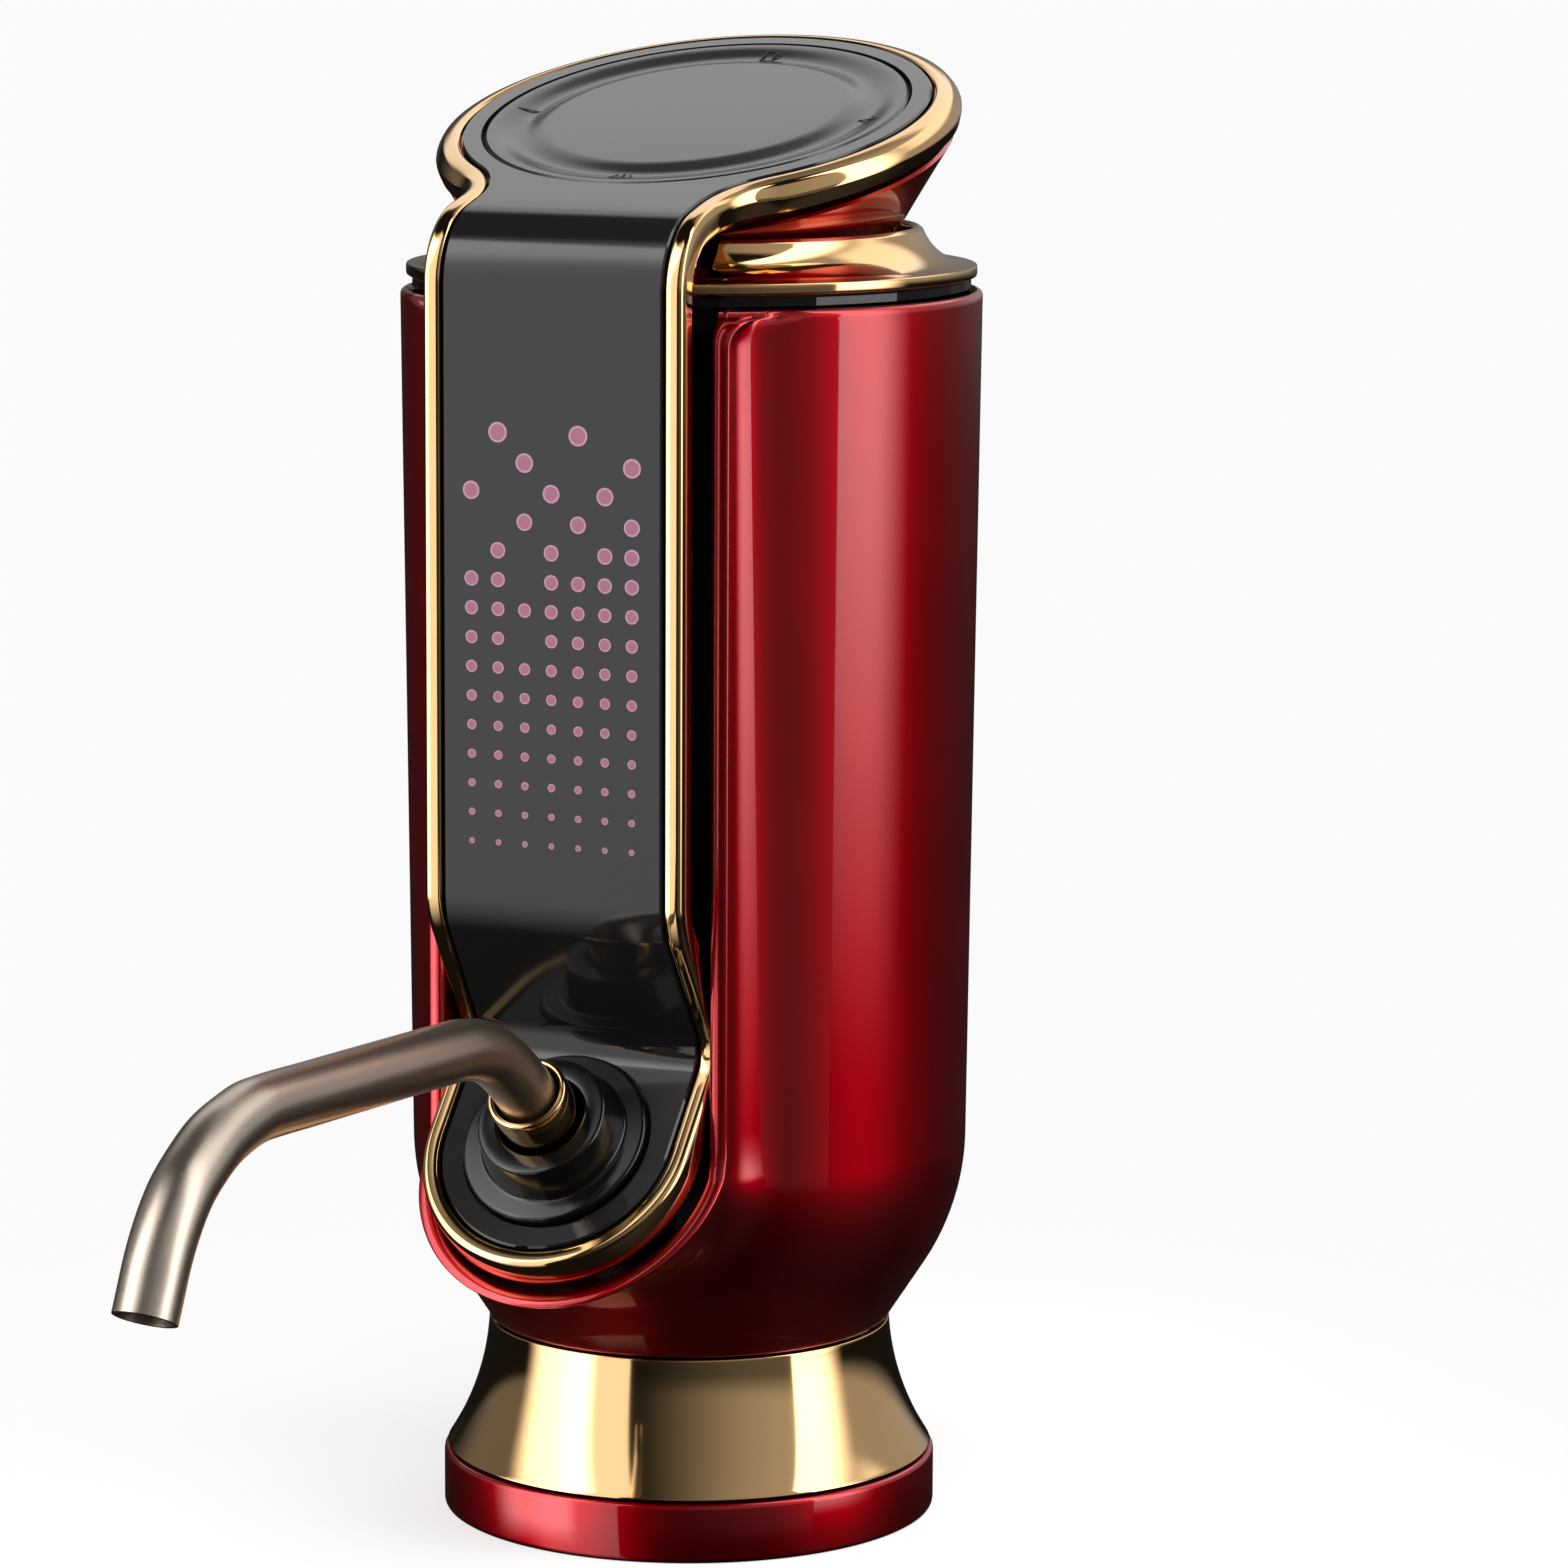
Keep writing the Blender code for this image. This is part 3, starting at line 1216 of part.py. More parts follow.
def head_shell():
    """Red cone that carries the tilted disc: a loft from a level foot to a tilted rim."""
    rim_height = -RING_DEPTH - FIT
    foot_z = SHOULDER_Z
    knee_z = foot_z + HEAD_FOOT_H
    sections = []
    for i in range(ROUND_STEPS):
        angle = 2 * math.pi * i / ROUND_STEPS
        flat = Vector((math.cos(angle), math.sin(angle), 0))
        rise = Vector((0, 0, 1))
        rims = [DISC_FRAME @ (flat * r + rise * rim_height) for r in (HEAD_RIM_R, HEAD_RIM_BORE_R)]
        bore = HEAD_FOOT_R - HEAD_WALL
        sections.append([
            flat * HEAD_FOOT_R + rise * foot_z, flat * HEAD_FOOT_R + rise * knee_z, rims[0],
            rims[1], flat * bore + rise * knee_z, flat * bore + rise * foot_z,
        ])
    mesh = loft_mesh(sections, closed=True)
    return new_object("head_shell", mesh, CANDY_RED)


def head_deck():
    """Round deck under the disc that guides the pad and holds its board."""
    top = -PANEL_T - FIT
    floor = -DECK_DEPTH + DECK_FLOOR_T
    well = PAD_BODY_R + FIT
    hub = PAD_STEM_R + FIT
    flange_low = top - DECK_FLANGE_T
    skirt = HEAD_RIM_BORE_R - FIT - DECK_TAPER_PLAY
    profile = [
        (hub, floor), (well, floor), (well, top), (DECK_R, top), (DECK_R, flange_low),
        (skirt, flange_low), (skirt, -DECK_DEPTH), (hub, -DECK_DEPTH),
    ]
    made = turned("head_deck", profile, BLACK_PLASTIC, DISC_FRAME)
    for x, y in deck_post_places():
        post = helper(rod_mesh((x, y, touch_board_top() + FIT), (x, y, floor - FIT), DECK_POST_R, SMALL_STEPS))
        post.matrix_world = DISC_FRAME
        operate(made, post, "UNION")
    screw_holes(made, deck_screw_places(), SCREW_BITE + BOARD_T + SCREW_PLAY)
    return made


def deck_post_places():
    """Places of the posts that carry the touch board."""
    turns = [math.pi / 2 + 2 * math.pi * i / DECK_POSTS for i in range(DECK_POSTS)]
    return [(DECK_POST_CIRCLE_R * math.cos(a), DECK_POST_CIRCLE_R * math.sin(a)) for a in turns]


def plunger_top():
    """Height of the switch plunger's top under the pad's stem."""
    return -PAD_STEM_L - FIT


def switch_top():
    """Height of the switch body's top."""
    return plunger_top() - PAD_TRAVEL - SWITCH_SHOW / 2


def touch_board_top():
    """Height of the touch board's upper face."""
    return switch_top() - SWITCH_T - FIT


def touch_pad():
    """Round pad with a dished ring that is pressed to pour."""
    middle = (PAD_FLAT_R + DISH_R) / 2
    half = (DISH_R - PAD_FLAT_R) / 2
    profile = [(0, 0), (PAD_FLAT_R, 0)]
    for i in range(1, QUARTER_STEPS):
        angle = math.pi * i / QUARTER_STEPS
        profile.append((middle - half * math.cos(angle), -DISH_DEPTH * math.sin(angle)))
    profile += [
        (DISH_R, 0), (PAD_R, -FIT / 2), (PAD_R, -PAD_RIM_T), (PAD_BODY_R, -PAD_RIM_T),
        (PAD_BODY_R, -PAD_BODY_T), (PAD_STEM_R, -PAD_BODY_T), (PAD_STEM_R, -PAD_STEM_L), (0, -PAD_STEM_L),
    ]
    return turned("touch_pad", profile, GREY_SATIN, DISC_FRAME)


def switch_plunger():
    """Plunger of the tact switch, pushed by the pad's stem."""
    top = plunger_top()
    low = switch_top() - SWITCH_PLUNGER_L
    made = new_object("switch_plunger", rod_mesh((0, 0, low), (0, 0, top), SWITCH_PLUNGER_R), BLACK_PLASTIC)
    made.matrix_world = DISC_FRAME
    return made


def tact_switch():
    """Body of the tact switch, bored for its plunger."""
    half = SWITCH_SIDE / 2
    top = switch_top()
    made = new_object("tact_switch", box_mesh((-half, -half, top - SWITCH_T), (half, half, top)), STEEL)
    made.matrix_world = DISC_FRAME
    floor = top - SWITCH_PLUNGER_L - PAD_TRAVEL - SWITCH_BORE_SPARE
    bore = helper(rod_mesh((0, 0, floor), (0, 0, top + OVERRUN), SWITCH_PLUNGER_R + FIT))
    bore.matrix_world = DISC_FRAME
    operate(made, bore)
    return made


def touch_board():
    """Round circuit board under the deck."""
    top = touch_board_top()
    plate = rod_mesh((0, 0, top - BOARD_T), (0, 0, top), TOUCH_BOARD_R, ROUND_STEPS // 2)
    made = new_object("touch_board", plate, BOARD_GREEN)
    made.matrix_world = DISC_FRAME
    screw_holes(made, deck_screw_places(), SCREW_BITE + BOARD_T)
    return made


def deck_screws():
    """Screws that hold the touch board to the deck's posts."""
    screws("deck_screw", deck_screw_places(), SCREW_BITE + BOARD_T)


def deck_screw_places():
    """Placements of those screws, heads under the board."""
    seat = touch_board_top() - BOARD_T - SCREW_PLAY
    return [DISC_FRAME @ Matrix.Translation((x, y, seat)) for x, y in deck_post_places()]


def cell_y():
    """Depth of the battery's axis, against its trough on the spine."""
    return SPINE_BACK_Y + FIT + TROUGH_BACK + FIT + CELL_R


def battery_cell():
    """Lithium cell with its raised cap."""
    top = CELL_BOTTOM_Z + CELL_L - CELL_CAP_H
    profile = [
        (0, CELL_BOTTOM_Z), (CELL_R, CELL_BOTTOM_Z), (CELL_R, top), (CELL_CAP_R, top),
        (CELL_CAP_R, top + CELL_CAP_H), (0, top + CELL_CAP_H),
    ]
    frame = Matrix.Translation((CELL_X, cell_y(), 0))
    return turned("battery_cell", profile, CELL_WRAP, frame, ROUND_STEPS // 2)


def trough(name, x, y, radius, low, high, wall):
    """Half-round cradle fixed to the back of the spine."""
    half = radius + FIT + wall
    block = box_mesh((x - half, SPINE_BACK_Y + FIT, low), (x + half, y, high))
    made = new_object(name, block, BLACK_PLASTIC)
    bore = rod_mesh((x, y, low - OVERRUN), (x, y, high + OVERRUN), radius + FIT, ROUND_STEPS // 2)
    operate(made, helper(bore))
    return made


def battery_trough():
    """Cradle of the battery."""
    top = CELL_BOTTOM_Z + CELL_L
    return trough("battery_trough", CELL_X, cell_y(), CELL_R, CELL_BOTTOM_Z, top, TROUGH_WALL)


def motor_y():
    """Depth of the pump's axis, against its bracket on the spine."""
    return SPINE_BACK_Y + FIT + TROUGH_BACK + FIT + MOTOR_R


def motor_top():
    """Height of the motor can's top."""
    return MOTOR_BOTTOM_Z + MOTOR_L


def pump_frame():
    """Placement of the pump's axis."""
    return Matrix.Translation((MOTOR_X, motor_y(), 0))


def motor_bracket():
    """Cradle of the motor."""
    wall = TROUGH_WALL - FIT
    return trough("motor_bracket", MOTOR_X, motor_y(), MOTOR_R, MOTOR_BOTTOM_Z, motor_top(), wall)


def motor_can():
    """Steel can of the motor, bored for its shaft."""
    bore = SHAFT_R + SHAFT_BORE_PLAY
    floor = motor_top() - SHAFT_SUNK - FIT
    profile = [
        (0, MOTOR_BOTTOM_Z), (MOTOR_R, MOTOR_BOTTOM_Z), (MOTOR_R, motor_top()),
        (bore, motor_top()), (bore, floor), (0, floor),
    ]
    return turned("motor_can", profile, STEEL, pump_frame(), ROUND_STEPS // 2)


def motor_shaft():
    """Motor shaft, which turns the crank."""
    low = motor_top() - SHAFT_SUNK
    made = new_object("motor_shaft", rod_mesh((0, 0, low), (0, 0, motor_top() + SHAFT_OUT), SHAFT_R), STEEL)
    made.matrix_world = pump_frame()
    return made


def crank_low():
    """Height of the crank's underside, clear of the pump's floor."""
    return motor_top() + FIT + PUMP_FLOOR_T + FIT


def pump_crank():
    """Crank with the offset pin that works the diaphragm."""
    low = crank_low()
    bore = SHAFT_R + SHAFT_BORE_PLAY
    profile = [(bore, low), (CRANK_R, low), (CRANK_R, low + CRANK_T), (bore, low + CRANK_T)]
    made = turned("pump_crank", profile, BLACK_PLASTIC, pump_frame(), SMALL_STEPS)
    root = low + CRANK_T / 2
    tip = low + CRANK_T + CRANK_PIN_L
    pin = helper(rod_mesh((CRANK_THROW + SHAFT_R, 0, root), (CRANK_THROW + SHAFT_R, 0, tip), CRANK_PIN_R))
    pin.matrix_world = pump_frame()
    operate(made, pin, "UNION")
    return made


def pump_housing():
    """Cup round the crank, on top of the motor."""
    low = motor_top() + FIT
    top = low + PUMP_BASE_H
    hole = SHAFT_R + SHAFT_BORE_PLAY + FIT
    profile = [
        (hole, low), (PUMP_R, low), (PUMP_R, top), (PUMP_R - PUMP_WALL, top),
        (PUMP_R - PUMP_WALL, low + PUMP_FLOOR_T), (hole, low + PUMP_FLOOR_T),
    ]
    return turned("pump_housing", profile, BLACK_PLASTIC, pump_frame(), ROUND_STEPS // 2)


def pump_diaphragm():
    """Rubber diaphragm over the cup."""
    low = motor_top() + FIT + PUMP_BASE_H + FIT
    profile = [
        (0, low - DIAPHRAGM_BOSS_H), (DIAPHRAGM_BOSS_R, low - DIAPHRAGM_BOSS_H), (DIAPHRAGM_BOSS_R, low),
        (PUMP_R, low), (PUMP_R, low + DIAPHRAGM_T), (0, low + DIAPHRAGM_T),
    ]
    return turned("pump_diaphragm", profile, BLACK_RUBBER, pump_frame(), ROUND_STEPS // 2)


def pump_cover_low():
    """Height of the pump cover's underside."""
    return motor_top() + FIT + PUMP_BASE_H + FIT + DIAPHRAGM_T + FIT


def pump_cover():
    """Valve head with the air nipple."""
    low = pump_cover_low()
    top = low + PUMP_COVER_H
    profile = [
        (PUMP_NIPPLE_BORE_R, low), (PUMP_R, low), (PUMP_R, top), (PUMP_NIPPLE_R, top),
        (PUMP_NIPPLE_R, top + PUMP_NIPPLE_L), (PUMP_NIPPLE_BORE_R, top + PUMP_NIPPLE_L),
    ]
    return turned("pump_cover", profile, BLACK_PLASTIC, pump_frame(), ROUND_STEPS // 2)


def check_valve():
    """Check valve in the air line, with a nipple at each end."""
    profile = [
        (VALVE_NIPPLE_BORE_R, -VALVE_NIPPLE_L), (VALVE_NIPPLE_R, -VALVE_NIPPLE_L), (VALVE_NIPPLE_R, 0),
        (VALVE_R, 0), (VALVE_R, VALVE_L), (VALVE_NIPPLE_R, VALVE_L),
        (VALVE_NIPPLE_R, VALVE_L + VALVE_NIPPLE_L), (VALVE_NIPPLE_BORE_R, VALVE_L + VALVE_NIPPLE_L),
    ]
    frame = Matrix.Translation((AIR_LINE_X, AIR_LINE_Y, VALVE_Z))
    return turned("check_valve", profile, MILKY, frame, SMALL_STEPS)


def air_tubes():
    """Silicone air line from the pump down to the stopper, in two lengths round the valve."""
    pump_top = pump_cover_low() + PUMP_COVER_H + FIT
    rise = Vector((0, 0, PUMP_NIPPLE_L))
    start = Vector((MOTOR_X, motor_y(), pump_top))
    down = Vector((AIR_LINE_X, AIR_LINE_Y, VALVE_Z + VALVE_L + FIT))
    crown = start.lerp(Vector((down.x, down.y, pump_top)), 0.5) + Vector((0, 0, AIR_LOOP_RISE))
    upper = [start, start + rise, start + rise * 1.5, crown]
    upper += [Vector((down.x, down.y, pump_top)), down + rise * 2, down + rise, down]
    points = smooth_points(upper, TUBE_POINTS)
    new_object("air_tube_upper", tube_mesh(points, AIR_TUBE_R, AIR_TUBE_WALL), SILICONE)
    start = Vector((AIR_LINE_X, AIR_LINE_Y, VALVE_Z - FIT))
    lower = [start, start - rise, start - rise * 2]
    lower += bore_route(AIR_BORE_X)
    points = smooth_points(lower, TUBE_POINTS)
    new_object("air_tube_lower", tube_mesh(points, AIR_TUBE_R, AIR_TUBE_WALL), SILICONE)


def bore_route(x):
    """Straight end of a tube, down through the chassis and the ceiling to the stopper."""
    plate = Vector((x, 0, CHASSIS_TOP_Z))
    return [plate + Vector((0, 0, TUBE_LEAD)), plate, Vector((x, 0, CEILING_Z))]


TUBE_LEAD = 0.0030
TUBE_POINTS = 5


def wine_tube():
    """Silicone tube that lifts the wine from the stopper to the nozzle."""
    start = NOZZLE_CENTRE - NOZZLE_AXIS * (STEM_DEPTH + FIT)
    anchors = [start, start - NOZZLE_AXIS * NIPPLE_L, start - NOZZLE_AXIS * (NIPPLE_L + TUBE_LEAD)]
    points = smooth_points(anchors + bore_route(WINE_BORE_X), TUBE_POINTS)
    return new_object("wine_tube", tube_mesh(points, WINE_TUBE_R, WINE_TUBE_WALL), SILICONE)


def main_board():
    """Main circuit board in the chassis rails."""
    low = (-MAIN_BOARD_HALF_W, MAIN_BOARD_Y, MAIN_BOARD_LOW_Z)
    high = (MAIN_BOARD_HALF_W, MAIN_BOARD_Y + BOARD_T, MAIN_BOARD_LOW_Z + MAIN_BOARD_H)
    return new_object("main_board", box_mesh(low, high), BOARD_GREEN)


def wall_y(x, z):
    """Depth of the body's outer wall behind the axis at x and z."""
    radius = inner_wall_r(z) + BODY_WALL
    return math.sqrt(radius**2 - x**2)


def charge_socket():
    """Metal charging socket on the board, open to the rear."""
    back = wall_y(PORT_HALF_W, PORT_Z) - BODY_WALL / 2
    front = MAIN_BOARD_Y + BOARD_T + FIT
    shell = prism_mesh(rounded_slot(PORT_HALF_W, PORT_HALF_H), front, back, across_front)
    made = new_object("charge_socket", shell, STEEL)
    cavity = rounded_slot(PORT_HALF_W - PORT_WALL, PORT_HALF_H - PORT_WALL)
    hollow = prism_mesh(cavity, front + (back - front) * PORT_FLOOR_SHARE, back + OVERRUN, across_front)
    operate(made, helper(hollow))
    return made


PORT_FLOOR_SHARE = 0.2


def port_bezel():
    """Black trim round the charging socket, let into the body's wall."""
    outer = rounded_slot(PORT_HALF_W + PORT_BEZEL_W, PORT_HALF_H + PORT_BEZEL_W)
    edge = wall_y(PORT_HALF_W + PORT_BEZEL_W, PORT_Z) - PORT_SUNK
    block = prism_mesh(outer, edge - BODY_WALL, edge, across_front)
    made = new_object("port_bezel", block, BLACK_PLASTIC)
    hole = prism_mesh(
        rounded_slot(PORT_HALF_W + FIT, PORT_HALF_H + FIT), edge - BODY_WALL - OVERRUN,
        edge + OVERRUN, across_front,
    )
    operate(made, helper(hole))
    return made


def build_base():
    """Everything below the waist."""
    base_ring()
    neck_skirt()
    neck_sleeve()
    bottle_stopper()
    base_screws()


def build_front(path):
    """The strip with its frame, the nozzle and the spout."""
    front_frame(path)
    front_panel(path)
    front_tray(path)
    tray_screws()
    light_plates()
    nozzle_boss()
    nozzle_nut()
    spout_collar()
    spout_tube()
    spout_o_rings()


def build_head():
    """The lid, the shoulder and the touch head."""
    body_lid()
    shoulder_collar()
    head_shell()
    head_deck()
    touch_pad()
    switch_plunger()
    tact_switch()
    touch_board()
    deck_screws()


def build_inside():
    """The chassis with the battery, the pump, the tubes and the main board."""
    inner_chassis()
    battery_trough()
    battery_cell()
    motor_bracket()
    motor_can()
    motor_shaft()
    pump_crank()
    pump_housing()
    pump_diaphragm()
    pump_cover()
    check_valve()
    air_tubes()
    wine_tube()
    main_board()
    charge_socket()
    port_bezel()


empty_scene()
PARTS = collection("electric_wine_aerator")
CUTTERS = collection("cutters")
build_base()
body_shell()
build_front(SidePath())
build_head()
build_inside()
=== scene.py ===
"""Electric wine aerator: fine surfaces, finishes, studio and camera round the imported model.

Every length is in metres, +Z up, and the front with the strip and the spout faces -Y.
"""
import math

import bmesh
import bpy
from bpy.props import FloatProperty, FloatVectorProperty, IntProperty, PointerProperty
from bpy.types import Operator, Panel, PropertyGroup
from mathutils import Matrix, Vector


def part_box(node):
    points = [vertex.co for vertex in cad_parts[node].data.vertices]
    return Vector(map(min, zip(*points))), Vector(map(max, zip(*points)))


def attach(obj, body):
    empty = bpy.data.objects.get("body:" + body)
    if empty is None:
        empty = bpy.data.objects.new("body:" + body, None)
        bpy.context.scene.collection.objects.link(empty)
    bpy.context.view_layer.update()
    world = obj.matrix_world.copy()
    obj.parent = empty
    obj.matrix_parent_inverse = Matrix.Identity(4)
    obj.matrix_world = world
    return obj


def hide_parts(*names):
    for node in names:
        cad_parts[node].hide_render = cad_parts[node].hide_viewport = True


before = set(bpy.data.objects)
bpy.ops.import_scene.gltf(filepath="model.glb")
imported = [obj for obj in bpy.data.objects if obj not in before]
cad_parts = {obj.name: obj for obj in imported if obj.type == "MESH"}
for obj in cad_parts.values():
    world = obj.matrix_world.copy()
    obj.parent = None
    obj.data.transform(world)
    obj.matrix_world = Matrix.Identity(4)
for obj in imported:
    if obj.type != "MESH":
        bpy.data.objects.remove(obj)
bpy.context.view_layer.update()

bl_info = {
    "name": "Electric Wine Aerator",
    "version": (1, 0, 0),
    "blender": (4, 5, 0),
    "location": "3D Viewport > Sidebar > Aerator",
    "description": "Models and finishes a stand-on-bottle wine aerator, piece by piece",
    "category": "Object",
}

# Gaps, merging, and how finely round shapes are drawn and smoothed
GAP = 0.0003
MERGE = 0.000002
SEAM_MERGE = 0.000005
ROUND_STEPS = 160
EDGE_STEPS = 4
BEND_STEPS = 14
DISC_STEPS = 60
NECK_STEPS = 16
QUARTER_STEPS = 28
BORE_STEPS = 32
NOZZLE_HOLE_STEPS = 96
SHARP_DEGREES = 30
SMOOTH_DEGREES = 32
CUT_SMOOTH_DEGREES = 40
CORNER_REACH_SHARE = 0.45

# Heights of the stacked pieces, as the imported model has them
BASE_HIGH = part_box("base_ring")[1]
SHELL_LOW, SHELL_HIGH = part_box("body_shell")
BASE_R = BASE_HIGH.x
BASE_H = BASE_HIGH.z
WAIST_Z = SHELL_LOW.z
RIM_Z = SHELL_HIGH.z
BODY_R = SHELL_HIGH.x
SOCKET_R = 0.0160
SLEEVE_WALL = 0.0016
SLEEVE_PASSAGE_R = 0.004
CEILING_Z = 0.0180
GASKET_Z = 0.0162
STOPPER_TOP_R = 0.0098
STOPPER_TIP_R = 0.0082
WINE_BORE = (-0.0048, 0.0021)
AIR_BORE = (0.0046, 0.0013)
SKIRT_TOP_R = 0.0211
SKIRT_FLARE = 0.0045
SKIRT_TOP_LEAN = math.radians(3)
SKIRT_WALL = 0.0014

# Red body
BODY_LOW_R = 0.0290
BODY_LOW_Z = WAIST_Z + 0.0195
BODY_TURN_R = 0.0250
BODY_WALL = 0.0008
RIM_EDGE = 0.0006
LIP_HALF_W = 0.0167
LIP_W = 0.0019
LIP_FRONT = 0.0280
LIP_EDGE = 0.0006
LIP_BROAD_EDGE = 0.0012
LIP_EDGE_SHARE = 0.35
LIP_EDGE_LEAST = 0.00010
LIP_BROAD_SHARE = 0.85
LIP_FILLET = 0.0036
BLEND_START_SHARE = 0.37
BLEND_END_SHARE = 0.38
BLEND_STEPS = 16
LIP_TOP_R = 0.0030
LIP_TOP_STEPS = 10
LIP_TOP_SKIPPED = (1, 2)
LIP_TOP_FLARE = 0.0021
LIP_SETBACK = 0.0047
LIP_RUN_STEPS = 40
LIP_FOOT_STEPS = 44
FOOT_DOWN_SHARE = 0.3
WALL_COLUMNS = 50
EVEN_COLUMN_SHARE = 0.35
SLOT_ROOT = 0.0190

# Front line: disc, strip, recess and nozzle plate
DISC_TILT = math.radians(16.1)
DISC_CENTRE = Vector((0, 0.00104, 0.1465))
DISC_R = 0.0243
NECK_FILLET = 0.0129
STRIP_FRONT = 0.0332
STRIP_HALF_W = 0.0120
TOP_BEND_R = 0.0080
RECESS_TOP_Z = 0.0674
RECESS_BEND_R = 0.0080
RECESS_CORNER_R = 0.0032
NOZZLE_CENTRE = Vector((0, -0.0321, 0.0449))
NOZZLE_TILT = math.radians(48)
NOZZLE_PLATE_R = 0.0123
RECESS_UP = 0.0116
PANEL_T = 0.0014
PANEL_EDGE = 0.00018
PATH_SPARE = 0.003

# Gold frame
FRAME_W = 0.0019
FRAME_DEPTH = 0.0030
RING_W = 0.0026
RING_DEPTH = 0.0040
STRIP_SECTION_SHARES = (
    (0.00, -1.00), (0.00, -0.08), (0.12, 0.005), (0.46, 0.026),
    (0.84, 0.000), (1.00, -0.20), (1.00, -0.85), (0.85, -1.00),
)
RING_SECTION_SHARES = (
    (0.00, -1.00), (0.00, -0.06), (0.16, -0.01), (0.48, -0.05),
    (0.76, -0.15), (1.00, -0.46), (0.88, -0.82), (0.45, -1.00),
)

# Shoulder and head
SHOULDER_Z = 0.1299
SHOULDER_FOOT_R = 0.0294
SHOULDER_EDGE_H = 0.0012
SHOULDER_H = 0.0052
SHOULDER_TOP_R = 0.0238
SHOULDER_BORE_R = 0.0227
SHOULDER_TOP_LEAN = math.radians(20)
SHOULDER_LIP_DROP = 0.0004
HEAD_FOOT_R = 0.0198
HEAD_FOOT_H = 0.0021
HEAD_RIM_R = 0.0262
HEAD_RIM_BORE_R = 0.0229
HEAD_WALL = 0.0018

# Pad
PAD_R = 0.0220
PAD_RIM_T = 0.0011
PAD_BODY_R = 0.0202
PAD_BODY_T = 0.0023
PAD_FLAT_R = 0.0154
DISH_R = 0.0214
DISH_DEPTH = 0.00055
DISH_POINTS = 28
DISH_LOW_SHARE = 0.48
MARK_PLACE_R = 0.0192
MARK_R = 0.0011
MARK_LINE = 0.00020
MARK_RISE = 0.00004
MARK_GAP_TURN = math.radians(38)
MARK_ARC_STEPS = 12
JUG_SHARES = (
    (-1.1, 0.9), (-0.5, 0.6), (-0.6, -1.0), (0.6, -1.0), (0.5, 0.6), (-0.5, 0.6), (0.5, 0.6),
    (1.1, 0.2), (0.9, -0.5), (0.55, -0.6),
)
PAD_STEM_R = 0.0030
PAD_STEM_L = 0.0049

# Nozzle and spout
STEP_ONE_R = 0.0097
STEP_ONE_H = 0.0010
STEP_TWO_R = 0.0075
STEP_TWO_TOP_R = 0.0067
STEP_TWO_H = 0.0050
STEP_EDGE = 0.0004
GLAND_R = 0.0045
GLAND_DEPTH = 0.0040
STEM_R = 0.0062
STEM_DEPTH = 0.0090
NIPPLE_R = 0.0016
NIPPLE_L = 0.0050
NIPPLE_BORE_R = 0.0010
COLLAR_R = 0.0041
COLLAR_H = 0.0044
COLLAR_SUNK = 0.0020
SPOUT_R = 0.00305
SPOUT_WALL = 0.0005
SPOUT_BORE_PLAY = 0.0004
SPOUT_SEAT = 0.0035
SPOUT_SHOULDER = Vector((0, -0.0575, 0.0584))
SPOUT_CREST = Vector((0, -0.0950, 0.0602))
SPOUT_END = Vector((0, -0.1157, 0.0452))
SPOUT_ELBOW_SHARES = ((0.23, 0.45), (0.47, 0.78), (0.74, 0.95), (1.00, 1.00))
SPOUT_RUN_SHARES = ((0.35, 0.37), (0.70, 0.72), (1.00, 1.00))
SPOUT_BEND_SHARES = (
    (0.15, 0.02), (0.37, 0.09), (0.55, 0.21), (0.68, 0.33), (0.79, 0.49), (0.88, 0.67), (0.95, 0.86),
    (1.00, 1.00),
)
SPOUT_FINE = 8
SPOUT_QUARTER_STEPS = 10
FRAME_FINE = 4

# Dots on the strip, bottom row first: the rows that each column has
DOT_COLUMNS = (
    (0, 1, 2, 3, 4, 5, 6, 7, 8, 9, 12),
    (0, 1, 2, 3, 4, 5, 6, 7, 8, 9, 10, 14),
    (0, 1, 2, 3, 4, 5, 6, 8, 11, 13),
    (0, 1, 2, 3, 4, 5, 6, 7, 8, 9, 10, 12),
    (0, 1, 2, 3, 4, 5, 6, 7, 8, 9, 11, 14),
    (0, 1, 2, 3, 4, 5, 6, 7, 8, 9, 10, 12),
    (0, 1, 2, 3, 4, 5, 6, 7, 8, 9, 10, 11, 13),
)
DOT_TOP_ROW = 14
DOT_LOW_Z = 0.07513
DOT_PITCH = 0.00294
DOT_LARGEST = 0.00205
DOT_SMALLEST = 0.00062
DOT_STEPS = 20
DOT_RIM_SHARE = 0.80
DOT_RISE = 0.00003
DOT_DRAFT_RISE = 0.015

# Grain of each finish, from flake and grit sizes; a cloud is the slow change of a polished face
FLAKE_GRAIN = 0.00035
LACQUER_CLOUD = 0.012
GOLD_CLOUD = 0.010
PANEL_CLOUD = 0.020
PAD_GRAIN = 0.00025
INK_GRAIN = 0.0002
NOZZLE_GRAIN = 0.0003
STEEL_GRAIN = 0.00022
LID_CLOUD = 0.004
MOULD_GRAIN = 0.0006
METAL_CLOUD = 0.002
NOISE_SPAN = (0.3, 0.7)
FINE_BUMP = 0.000002
MOULD_BUMP = 0.000004
MOULD_SPREAD = 0.05
METAL_SPREAD = (0.04, 0.06)

